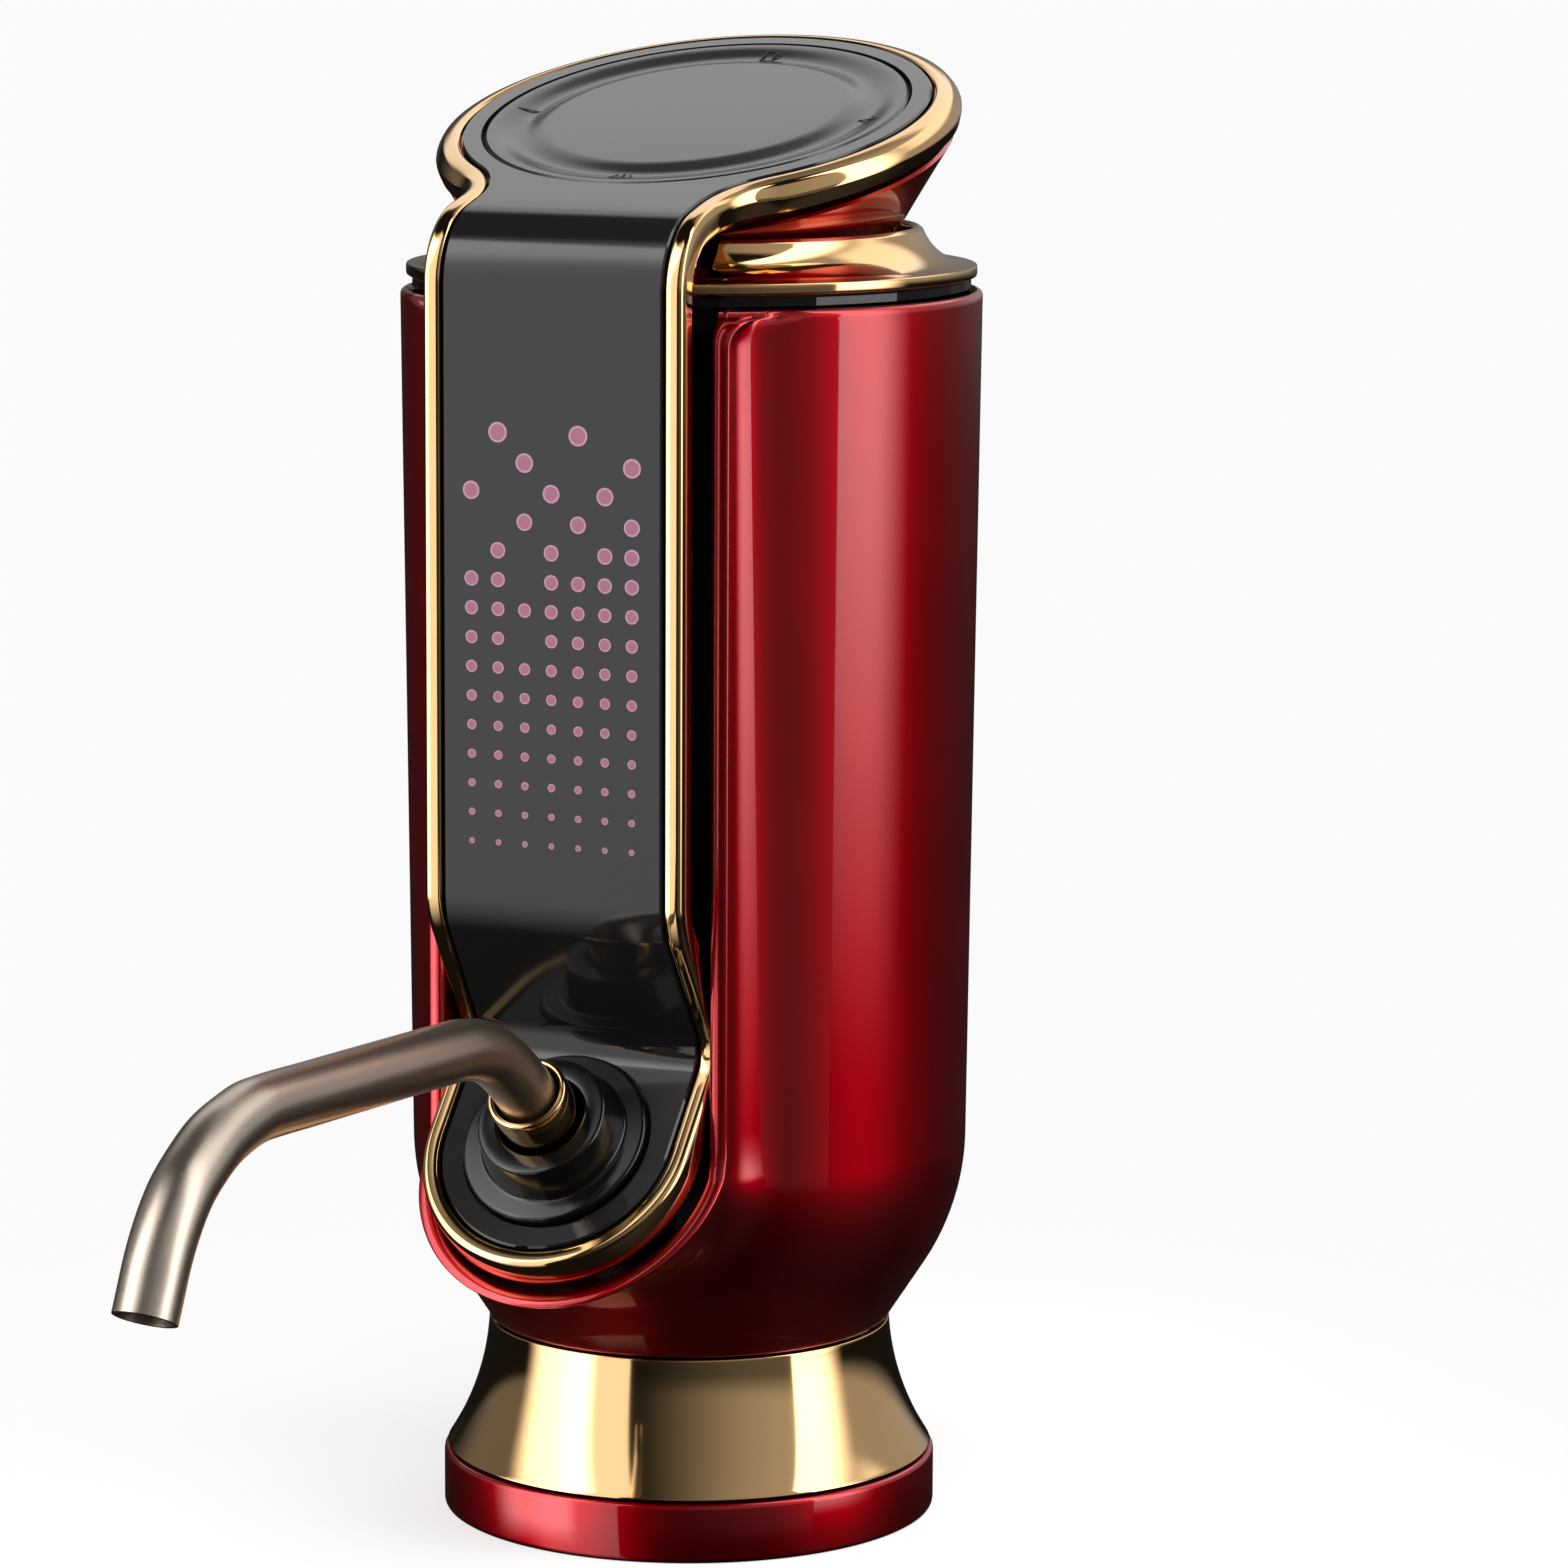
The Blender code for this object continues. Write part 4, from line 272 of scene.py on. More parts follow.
# Floor and studio. A box is (azimuth from, to, elevation from, to, soft edge left, right, (below, above),
# strength), in degrees, with the azimuth from the object's front towards its right side.
FLOOR_R = 0.34
FLOOR_WHITE = 0.955
FLOOR_GREY = 0.9
FLOOR_SHADE_SHARE = 0.30
FLOOR_SHADE_FROM = 0.030
FLOOR_SHADE_TO = 0.14
FLOOR_STEPS = 96
STUDIO_BASE = 0.010
STUDIO_BOXES = (
    (-80, -27, -22, 55, 18, 9, (8, 4), 3.0),
    (-130, -60, -3, 50, 30, 20, (4, 10), 0.18),
    (-60, -8, -62, 67, 20, 1.2, (52, 5), 1.45),
    (-12, 84.5, -20, 60, 94, 0.8, (7, 10), 0.13),
    (-12, 84.5, -3, 60, 94, 0.8, (12, 10), 0.35),
    (84, 122, -13, 78, 0.8, 22, (7, 6), 3.3),
    (84, 235, -7, 78, 1, 75, (8, 10), 0.45),
    (66, 150, -75, -12, 20, 40, (30, 12), 0.03),
    (110, 250, 20, 54, 25, 25, (8, 8), 1.1),
)
LAMP_PLACE = Vector((0.35, -0.35, 0.9))
LAMP_AIM = Vector((0, 0, 0.07))
LAMP_ACROSS = 0.6
LAMP_WATTS = 9.0

# Camera, as fitted to the photograph
CAMERA_AZIMUTH = math.radians(23.78)
CAMERA_PITCH = math.radians(9.02)
CAMERA_ROLL = math.radians(0.27)
CAMERA_AWAY = 0.6519
CAMERA_HIGH = 0.1802
CAMERA_ASIDE = 0.00974
CAMERA_LENS_MM = 145.26
CAMERA_SENSOR_MM = 36.0
CAMERA_CLIP = 0.01


def even_steps(count, first, last):
    """Values in even steps from first to last, with both ends."""
    return [first + (last - first) * i / count for i in range(count + 1)]


def linear(text):
    """Linear colour of an sRGB hex value."""
    parts = [int(text[i:i + 2], 16) / 255 for i in (0, 2, 4)]
    return tuple(c / 12.92 if c <= 0.04045 else ((c + 0.055) / 1.055) ** 2.4 for c in parts)


def length(name, words, size, least_share, most_share):
    """Length setting, whose range is given in shares of its size."""
    return FloatProperty(
        name=name, description=words, default=size, min=size * least_share, max=size * most_share,
        unit="LENGTH", precision=5,
    )


def tint(name, words, colour):
    """Colour setting."""
    return FloatVectorProperty(name=name, description=words, subtype="COLOR", default=linear(colour))


class AeratorSizes(PropertyGroup):
    """Sizes that a user would change."""

    lip_fillet: length("Lip fillet", "Width of the hollow beside the lip", LIP_FILLET, 0.25, 1.2)
    dot_pitch: length("Dot pitch", "Distance between the dots of the strip", DOT_PITCH, 0.7, 1.3)
    dot_largest: length("Largest dot", "Diameter of a dot in the top row", DOT_LARGEST, 0.3, 1.35)
    dot_smallest: length("Smallest dot", "Diameter of a dot in the bottom row", DOT_SMALLEST, 0.3, 3)
    round_steps: IntProperty(
        name="Round steps", description="Sides of each round piece", default=ROUND_STEPS, min=48, max=256,
    )


class AeratorColours(PropertyGroup):
    """Colours that a user would change."""

    lacquer: tint("Lacquer", "Red of the candy lacquer", "B20012")
    gold: tint("Gold", "Tint of the metallised trim", "E3BA84")
    panel: tint("Panel", "Dark grey of the strip", "151515")
    pad: tint("Pad", "Grey of the pad", "1E1E1E")
    dots: tint("Dots", "Dusty pink of the strip's dots", "8C4F68")


def sizes():
    """The user's sizes."""
    return bpy.context.scene.aerator_sizes


def colours():
    """The user's colours."""
    return bpy.context.scene.aerator_colours


def add_node(tree, kind, settings=None, links=None):
    """Add a node, set its properties and sockets, and link its inputs from other nodes' outputs."""
    node = tree.nodes.new(kind)
    for name, value in (settings or {}).items():
        if isinstance(name, str) and hasattr(node, name):
            setattr(node, name, value)
        else:
            node.inputs[name].default_value = value
    for name, source in (links or {}).items():
        tree.links.new(source, node.inputs[name])
    return node


def maths(tree, operation, *terms):
    """Output of a math node, each of whose terms is a number or another node's output."""
    node = add_node(tree, "ShaderNodeMath", {"operation": operation})
    for socket, term in zip(node.inputs, terms):
        if isinstance(term, (int, float)):
            socket.default_value = term
        else:
            tree.links.new(term, socket)
    return node.outputs[0]


def mapped(tree, value, source, target, kind="SMOOTHSTEP"):
    """Value mapped from one range onto another, with soft ends unless the kind is linear."""
    (start, end), (low, high) = source, target
    node = add_node(
        tree, "ShaderNodeMapRange",
        {"interpolation_type": kind, "From Min": start, "From Max": end, "To Min": low, "To Max": high},
        {"Value": value},
    )
    return node.outputs["Result"]


def empty_tree(owner):
    """Node tree of a material or world, with nothing in it."""
    owner.use_nodes = True
    owner.node_tree.nodes.clear()
    return owner.node_tree


def shown(tree, share, first, second, output):
    """Mix two shaders by a share, and show the mix as the tree's surface."""
    mix = add_node(tree, "ShaderNodeMixShader", None, {0: share, 1: first.outputs[0], 2: second.outputs[0]})
    add_node(tree, output, None, {"Surface": mix.outputs[0]})


def darker(colour, share):
    """Colour multiplied by a share."""
    return tuple(c * share for c in colour)


def noise_of(tree, grain, detail):
    """Noise whose blotches are about grain metres across on the piece."""
    place = add_node(tree, "ShaderNodeTexCoord").outputs["Object"]
    noise = add_node(tree, "ShaderNodeTexNoise", {"Scale": 1 / grain, "Detail": detail}, {"Vector": place})
    return noise.outputs[0]


def finish(name, grain, first, second, roughness, settings, detail=2.0, cloud=None, bump=0.0):
    """Principled material whose noise mixes two colours and moves the roughness between two values.

    Grain is the noise's size and bump its depth, in metres. A cloud is the size of a second noise, which
    moves the roughness in place of the first one.
    """
    made = bpy.data.materials.new(name)
    made.use_nodes = True
    tree = made.node_tree
    shader = tree.nodes["Principled BSDF"]
    for key, value in settings.items():
        shader.inputs[key].default_value = value
    noise = noise_of(tree, grain, detail)
    mix = add_node(
        tree, "ShaderNodeMix", {"data_type": "RGBA", 6: (*first, 1.0), 7: (*second, 1.0)}, {0: noise}
    )
    tree.links.new(mix.outputs[2], shader.inputs["Base Color"])
    shader.inputs["Roughness"].default_value = sum(roughness) / 2
    if roughness[1] > roughness[0]:
        mover = noise_of(tree, cloud, 2.0) if cloud else noise
        level = mapped(tree, mover, NOISE_SPAN, roughness, "LINEAR")
        tree.links.new(level, shader.inputs["Roughness"])
    if bump:
        relief = add_node(tree, "ShaderNodeBump", {"Strength": 1.0, "Distance": bump}, {"Height": noise})
        tree.links.new(relief.outputs["Normal"], shader.inputs["Normal"])
    return made


def candy_lacquer():
    """Moulded ABS, metallised and sprayed with clear red lacquer.

    The metal under the tinted coat gives a deep red that brightens where it mirrors a lamp, and the clear
    top coat adds a thin white reflection of its own. Fine flake shows as a slight unevenness.
    """
    red = colours().lacquer
    return finish(
        "candy_red_lacquer_on_metallised_abs", FLAKE_GRAIN, darker(red, 0.92), red, (0.35, 0.39),
        {"Metallic": 1.0, "Coat Weight": 1.0, "Coat Roughness": 0.03, "Coat IOR": 1.52},
        detail=1.0, cloud=LACQUER_CLOUD,
    )


def metallised_gold():
    """ABS metallised with a pale gold mirror coat, which gives sharp warm reflections."""
    gold = colours().gold
    return finish(
        "vacuum_metallised_gold_on_abs", GOLD_CLOUD, darker(gold, 0.95), gold, (0.055, 0.085),
        {"Metallic": 1.0},
    )


def panel_gloss():
    """Polished dark acrylic: a nearly black body with a clear mirror on it."""
    grey = colours().panel
    return finish(
        "polished_dark_grey_acrylic", PANEL_CLOUD, darker(grey, 0.90), grey, (0.08, 0.10), {"IOR": 1.49}
    )


def pad_satin():
    """Fine-moulded grey ABS with a satin face, which softens what it mirrors."""
    grey = colours().pad
    return finish(
        "satin_moulded_grey_abs", PAD_GRAIN, darker(grey, 0.96), grey, (0.20, 0.20), {"IOR": 1.52},
        detail=1.0, bump=FINE_BUMP,
    )


def mark_ink():
    """Laser-darkened sign on the pad: dull and almost black."""
    return finish(
        "laser_darkened_sign_on_abs", INK_GRAIN, linear("060606"), linear("0B0B0B"), (0.5, 0.5), {"IOR": 1.5}
    )


def nozzle_satin():
    """Black acetal, turned and left satin: dark, with soft grey crescents where it faces a lamp."""
    return finish(
        "satin_turned_black_acetal", NOZZLE_GRAIN, linear("060606"), linear("0A0A0A"), (0.12, 0.16),
        {"IOR": 1.48}, detail=1.0,
    )


def spout_steel():
    """Drawn stainless tube, blasted fine and bent: warm grey with a sandy grain and long highlights."""
    return finish(
        "fine_blasted_stainless_steel", STEEL_GRAIN, linear("AFA294"), linear("C8BAAB"), (0.29, 0.37),
        {"Metallic": 1.0}, detail=3.0, bump=FINE_BUMP,
    )


def dot_ink():
    """Printed dusty pink dots of the light strip, unlit."""
    pink = colours().dots
    return finish(
        "printed_dusty_pink_ink", INK_GRAIN, darker(pink, 0.94), pink, (0.35, 0.35), {"IOR": 1.5}, detail=1.0
    )


def dot_rim_ink():
    """Paler edge of each printed dot."""
    return finish(
        "printed_pale_pink_edge", INK_GRAIN, linear("9E7085"), linear("AC8094"), (0.30, 0.30), {"IOR": 1.5},
        detail=1.0,
    )


def lid_lacquer_and_painted_shade():
    """Black lacquered ABS of the body's lid, a thin dark line under the shoulder; its faint red-brown tint is
    painted shade, copying the dark maroon of the shaded gap there.
    """
    return finish(
        "black_lacquered_abs_and_painted_shade", LID_CLOUD, linear("070404"), linear("0B0606"), (0.16, 0.16), {"IOR": 1.5}
    )


def moulded(name, first, second, level):
    """Moulded plastic or rubber with a fine spark-eroded grain, which breaks up its sheen."""
    roughness = (level - MOULD_SPREAD, level + MOULD_SPREAD)
    return finish(name, MOULD_GRAIN, linear(first), linear(second), roughness, {"IOR": 1.5}, bump=MOULD_BUMP)


def plain_metal(name, first, second, level):
    """Small metal piece: plated or polished, slightly clouded by handling."""
    roughness = (level - METAL_SPREAD[0], level + METAL_SPREAD[1])
    return finish(name, METAL_CLOUD, linear(first), linear(second), roughness, {"Metallic": 1.0})


def dress(piece, *materials):
    """Give a piece its materials in place of any that it has."""
    piece.data.materials.clear()
    for material in materials:
        piece.data.materials.append(material)


def fresh():
    """Object mode with nothing selected."""
    if bpy.context.object and bpy.context.object.mode != "OBJECT":
        bpy.ops.object.mode_set(mode="OBJECT")
    bpy.ops.object.select_all(action="DESELECT")


def named(name):
    """Name the active object and its mesh."""
    piece = bpy.context.object
    piece.name = name
    piece.data.name = name
    return piece


def select_only(piece):
    """Select one piece and make it active."""
    fresh()
    piece.select_set(True)
    bpy.context.view_layer.objects.active = piece


def edit_all(piece):
    """Edit mode on one piece, with all of it selected."""
    select_only(piece)
    bpy.ops.object.mode_set(mode="EDIT")
    bpy.ops.mesh.select_all(action="SELECT")


def edit_done():
    """Back to object mode."""
    bpy.ops.object.mode_set(mode="OBJECT")


def joined(pieces, name):
    """One piece made of several."""
    fresh()
    for piece in pieces:
        piece.select_set(True)
    bpy.context.view_layer.objects.active = pieces[0]
    bpy.ops.object.join()
    return named(name)


def linked(name, data):
    """New object in the scene that shows a mesh or a curve."""
    piece = bpy.data.objects.new(name, data)
    bpy.context.scene.collection.objects.link(piece)
    return piece


def settle(piece, frame_matrix=None):
    """Apply a placement to the mesh, so that the object sits at the origin, unturned."""
    select_only(piece)
    if frame_matrix is not None:
        piece.matrix_world = frame_matrix @ piece.matrix_world
    bpy.ops.object.transform_apply(location=True, rotation=True, scale=True)
    return piece


def outwards(piece):
    """Merge doubles and turn the faces out."""
    edit_all(piece)
    bpy.ops.mesh.remove_doubles(threshold=MERGE)
    bpy.ops.mesh.normals_make_consistent(inside=False)
    edit_done()
    return piece


def smooth(piece, degrees=SMOOTH_DEGREES):
    """Smooth shading that keeps sharp edges."""
    select_only(piece)
    bpy.ops.object.shade_smooth_by_angle(angle=math.radians(degrees))
    return piece


def apply_modifiers(piece):
    """Apply every modifier of a piece in order."""
    select_only(piece)
    for modifier in list(piece.modifiers):
        bpy.ops.object.modifier_apply(modifier=modifier.name)
    return piece


def cut(piece, tool):
    """Cut a tool out of a piece, and remove the tool."""
    step = piece.modifiers.new("cut", "BOOLEAN")
    step.operation = "DIFFERENCE"
    step.object = tool
    step.solver = "EXACT"
    apply_modifiers(piece)
    bpy.data.objects.remove(tool, do_unlink=True)
    return piece


def soften(outline, radius):
    """Closed outline with each sharp corner replaced by a small arc."""
    made = []
    count = len(outline)
    for i in range(count):
        before, here, after = (Vector(outline[(i + k) % count]) for k in (-1, 0, 1))
        first = here - before
        second = after - here
        turn = first.angle(second, 0.0)
        reach = min(radius * math.tan(turn / 2), min(first.length, second.length) * CORNER_REACH_SHARE)
        if turn < math.radians(SHARP_DEGREES) or reach < GAP / 20:
            made.append(tuple(here))
            continue
        start = here - first.normalized() * reach
        end = here + second.normalized() * reach
        for t in even_steps(EDGE_STEPS, 0, 1):
            made.append(tuple(start.lerp(here, t).lerp(here.lerp(end, t), t)))
    return made


def turned(name, profile, material, placement=None, closed=True):
    """Turned piece: a circle extruded and scaled step by step through an outline of (radius, height)."""
    fresh()
    radius, height = profile[0]
    bpy.ops.mesh.primitive_circle_add(vertices=sizes().round_steps, radius=radius, location=(0, 0, height))
    piece = settle(named(name))
    edit_all(piece)
    ring = list(profile) + ([profile[0]] if closed else [])
    for (near_r, near_z), (far_r, far_z) in zip(ring, ring[1:]):
        bpy.ops.mesh.extrude_region_move(TRANSFORM_OT_translate={"value": (0, 0, far_z - near_z)})
        if far_r != near_r:
            grow = far_r / near_r
            bpy.ops.transform.resize(value=(grow, grow, 1), center_override=(0, 0, far_z))
    if not closed:
        bpy.ops.mesh.select_all(action="SELECT")
        bpy.ops.mesh.fill_holes(sides=0)
    edit_done()
    outwards(piece)
    if placement is not None:
        settle(piece, placement)
    dress(piece, material)
    return smooth(piece)


def rod(radius, start, end, steps=64):
    """Round bar from start to end, used to bore holes."""
    fresh()
    along = Vector(end) - Vector(start)
    bpy.ops.mesh.primitive_cylinder_add(
        vertices=steps, radius=radius, depth=along.length, location=(Vector(start) + Vector(end)) / 2,
        rotation=along.to_track_quat("Z", "Y").to_euler(),
    )
    return settle(bpy.context.object)


def block(low, high):
    """Box between two corners, used to cut notches."""
    fresh()
    low, high = Vector(low), Vector(high)
    bpy.ops.mesh.primitive_cube_add(size=1, location=(low + high) / 2, scale=high - low)
    return settle(bpy.context.object)


def lofted(name, rings, material, closed_rings=True, closed_ends=False):
    """Skin over rings of matching points; a circle or a spun profile can't give these sections."""
    shape = bmesh.new()
    grid = [[shape.verts.new(point) for point in ring] for ring in rings]
    for near, far in zip(grid, grid[1:] + (grid[:1] if closed_ends else [])):
        last = len(near) if closed_rings else len(near) - 1
        for i in range(last):
            j = (i + 1) % len(near)
            shape.faces.new((near[i], near[j], far[j], far[i]))
    if closed_rings and not closed_ends:
        shape.faces.new(grid[0])
        shape.faces.new(grid[-1])
    mesh = bpy.data.meshes.new(name)
    shape.to_mesh(mesh)
    shape.free()
    piece = linked(name, mesh)
    outwards(piece)
    dress(piece, material)
    return smooth(piece)


def tilted(centre, tilt):
    """Placement whose local Z leans from +Z towards the front by tilt."""
    return Matrix.Translation(centre) @ Matrix.Rotation(tilt, 4, "X")


DISC_FRAME = tilted(DISC_CENTRE, DISC_TILT)
NOZZLE_FRAME = tilted(NOZZLE_CENTRE, NOZZLE_TILT)
NOZZLE_AXIS = Vector((0, -math.sin(NOZZLE_TILT), math.cos(NOZZLE_TILT)))
NOZZLE_UP = Vector((0, math.cos(NOZZLE_TILT), math.sin(NOZZLE_TILT)))
LIP_CENTRE = NOZZLE_CENTRE - NOZZLE_AXIS * LIP_SETBACK


def arc_between(start, lean, end, steps):
    """Arc in (radius, height) from start, leaving at a lean from the vertical, to end."""
    across = end[0] - start[0]
    down = start[1] - end[1]
    turn = 2 * (math.atan2(across, down) - lean)
    radius = math.hypot(across, down) / (2 * math.sin(turn / 2))
    made = []
    for angle in even_steps(steps, lean, lean + turn):
        made.append((
            start[0] + radius * (math.cos(lean) - math.cos(angle)),
            start[1] - radius * (math.sin(angle) - math.sin(lean)),
        ))
    return made


def wall_line():
    """Outer line of the body from the rim down to the waist, as (height, radius)."""
    taper = math.atan2(BODY_R - BODY_LOW_R, RIM_Z - BODY_LOW_Z)
    centre_r = BODY_LOW_R - BODY_TURN_R * math.cos(taper)
    centre_z = BODY_LOW_Z + BODY_TURN_R * math.sin(taper)
    waist_r = SKIRT_TOP_R - GAP / 2
    reach_r = waist_r - centre_r
    reach_z = WAIST_Z - centre_z
    cone = -math.atan2(reach_z, reach_r) - math.acos(BODY_TURN_R / math.hypot(reach_r, reach_z))
    points = [(RIM_Z, BODY_R)]
    for angle in even_steps(BEND_STEPS * 2, taper, cone):
        points.append((centre_z - BODY_TURN_R * math.sin(angle), centre_r + BODY_TURN_R * math.cos(angle)))
    points.append((WAIST_Z, waist_r))
    return points


WALL_LINE = wall_line()


def wall_radius(z):
    """Radius of the body's outer wall at a height."""
    for (high, high_r), (low, low_r) in zip(WALL_LINE, WALL_LINE[1:]):
        if z >= low:
            return high_r + (low_r - high_r) * (high - z) / (high - low)
    return WALL_LINE[-1][1]


def wall_y(x, z):
    """Depth of the body's front surface at a place of the front view."""
    return -math.sqrt(max(wall_radius(z) ** 2 - x * x, 0.0))


def top_share(z):
    """How far the lip has rounded off into the rim at a height: 0 below its top corner, 1 at the rim."""
    rise = min(max((z - (RIM_Z - RIM_EDGE - LIP_TOP_R)) / LIP_TOP_R, 0.0), 1.0)
    return 1 - math.sqrt(1 - rise * rise)


def lip_front(x, z):
    """Depth of the lip's front: an upright run, a tilted foot, and a top that rounds off into the rim."""
    sloped = LIP_CENTRE.y + (z - LIP_CENTRE.z) / math.tan(NOZZLE_TILT)
    front = min(-LIP_FRONT, sloped)
    return front + (wall_y(x, z) - front) * top_share(z)


def lip_stations():
    """Stations along the lip, rim to foot: (inner, outer, normal, target angle, target height)."""
    made = []
    top = RIM_Z - RIM_EDGE
    heights = [top - LIP_TOP_R * (1 - math.cos(turn)) for turn in even_steps(LIP_TOP_STEPS, 0, math.pi / 2)]
    heights = [height for i, height in enumerate(heights) if i not in LIP_TOP_SKIPPED]
    low = LIP_CENTRE.z
    heights += even_steps(LIP_RUN_STEPS, heights[-1], low)[1:-1]
    for z in heights:
        flare = LIP_TOP_FLARE * top_share(z)
        made.append(((LIP_HALF_W - LIP_W, z), (LIP_HALF_W + flare, z), (1.0, 0.0), math.pi, z))
    squash = math.sin(NOZZLE_TILT)
    for share in even_steps(LIP_FOOT_STEPS, 0, 1):
        angle = math.pi / 2 * share
        inner, outer = (
            (half * math.cos(angle), low - half * squash * math.sin(angle))
            for half in (LIP_HALF_W - LIP_W, LIP_HALF_W)
        )
        normal = Vector((math.cos(angle) * squash, -math.sin(angle))).normalized()
        down = min(share / FOOT_DOWN_SHARE, 1.0)
        round_share = max((share - FOOT_DOWN_SHARE) / (1 - FOOT_DOWN_SHARE), 0.0)
        made.append((inner, outer, tuple(normal), math.pi * (1 - round_share), low + (WAIST_Z - low) * down))
    return made


def lip_row(station, fillet):
    """Points across the lip and round the body at one station."""
    inner, outer, normal, target_angle, target_z = station
    across = Vector((outer[0] - inner[0], outer[1] - inner[1]))
    width = across.length
    proud = max(wall_y(*outer) - lip_front(*outer), GAP / 10)
    edge = min(LIP_EDGE, max(proud * LIP_EDGE_SHARE, LIP_EDGE_LEAST), width * LIP_EDGE_SHARE)
    broad_reach = max(proud, LIP_EDGE_LEAST) * LIP_EDGE_SHARE * 2
    broad = min(LIP_BROAD_EDGE, broad_reach, (width - edge) * LIP_BROAD_SHARE)
    row = []

    def at(point, depth):
        row.append(Vector((point[0], depth, point[1])))

    front_in = lip_front(*inner)
    at(inner, max(-SLOT_ROOT, front_in + edge + GAP))
    at(inner, front_in + edge + GAP / 2)
    for turn in even_steps(EDGE_STEPS, 0, math.pi / 2):
        place = Vector(inner) + across * (edge * (1 - math.cos(turn)) / width)
        at(place, lip_front(*place) + edge * (1 - math.sin(turn)))
    for turn in even_steps(EDGE_STEPS * 2, 0, math.pi / 2):
        place = Vector(outer) - across * (broad * (1 - math.sin(turn)) / width)
        at(place, lip_front(*place) + edge * (1 - math.cos(turn)))
    front_out = lip_front(*outer) + edge
    start = Vector(outer) + Vector(normal) * fillet
    slope = wall_y(*start) - wall_y(*(start - Vector(normal) * GAP))
    surface = wall_y(*start)
    drop = surface - front_out
    chord = math.hypot(fillet, drop)
    way = Vector((GAP, slope)).normalized()
    knots = (
        Vector((0, front_out)), Vector((0, front_out + drop * BLEND_START_SHARE)),
        Vector((fillet, surface)) - way * chord * BLEND_END_SHARE, Vector((fillet, surface)),
    )
    for t in even_steps(BLEND_STEPS, 0, 1)[1:]:
        near = knots[0] * (1 - t) ** 3 + knots[1] * (3 * t * (1 - t) ** 2)
        spot = near + knots[2] * (3 * t * t * (1 - t)) + knots[3] * t**3
        at(Vector(outer) + Vector(normal) * spot.x, spot.y)
    radius = wall_radius(start[1])
    start_angle = math.asin(max(min(start[0] / radius, 1.0), -1.0))
    for share in even_steps(WALL_COLUMNS, 0, 1)[1:]:
        share *= EVEN_COLUMN_SHARE + (1 - EVEN_COLUMN_SHARE) * share
        angle = start_angle + (target_angle - start_angle) * share
        z = start[1] + (target_z - start[1]) * share
        r = wall_radius(z)
        row.append(Vector((r * math.sin(angle), -r * math.cos(angle), z)))
    return row


def body_sheet():
    """Half of the body's outer skin, from the rim's rolled edge down to the waist."""
    rows = [lip_row(station, sizes().lip_fillet) for station in lip_stations()]
    rolled = []
    for turn in even_steps(EDGE_STEPS, math.pi / 2, 0)[:-1]:
        ring = []
        for p in rows[0]:
            inwards = Vector((p.x, p.y, 0)).normalized() * RIM_EDGE * (1 - math.cos(turn))
            moved = p - inwards + Vector((0, 0, RIM_EDGE * math.sin(turn)))
            if p.y < 0:
                moved.x = max(moved.x, LIP_HALF_W - LIP_W)
            ring.append(moved)
        rolled.append(ring)
    rows = rolled + rows
    for row in rows:
        row[-1].x = 0.0 if row[-1].y > 0 else row[-1].x
    for p in rows[-1]:
        p.x = 0.0
    return rows


def red_body():
    """Body with the lip that runs round the strip's slot."""
    piece = lofted("red_body", body_sheet(), candy_lacquer(), closed_rings=False)
    faces = piece.data.polygons
    facing_out = sum(f.area * f.normal.dot(Vector((f.center.x, f.center.y, 0))) for f in faces)
    if facing_out < 0:
        edit_all(piece)
        bpy.ops.mesh.flip_normals()
        edit_done()
    half = piece.modifiers.new("half", "MIRROR")
    half.use_clip = True
    half.merge_threshold = SEAM_MERGE
    wall = piece.modifiers.new("wall", "SOLIDIFY")
    wall.thickness = BODY_WALL
    wall.offset = -1
    apply_modifiers(piece)
    return piece


def port_hole(piece):
    """Cut the charging port's opening, rounded at both sides, through the back of the body."""
    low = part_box("charge_socket")[0]
    bezel_low, bezel_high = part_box("port_bezel")
    half = (bezel_high.z - bezel_low.z) / 2
    middle = (bezel_high.z + bezel_low.z) / 2
    outside = BODY_R * 2
    sides = (bezel_low.x + half, bezel_high.x - half)
    for side in sides:
        cut(piece, rod(half + GAP, (side, low.y, middle), (side, outside, middle)))
    cut(piece, block((sides[0], low.y, bezel_low.z - GAP), (sides[1], outside, bezel_high.z + GAP)))
    smooth(piece, CUT_SMOOTH_DEGREES)


def heading(start, end):
    """Angle of the line from start to end in the side view."""
    return math.atan2(end[1] - start[1], end[0] - start[0])


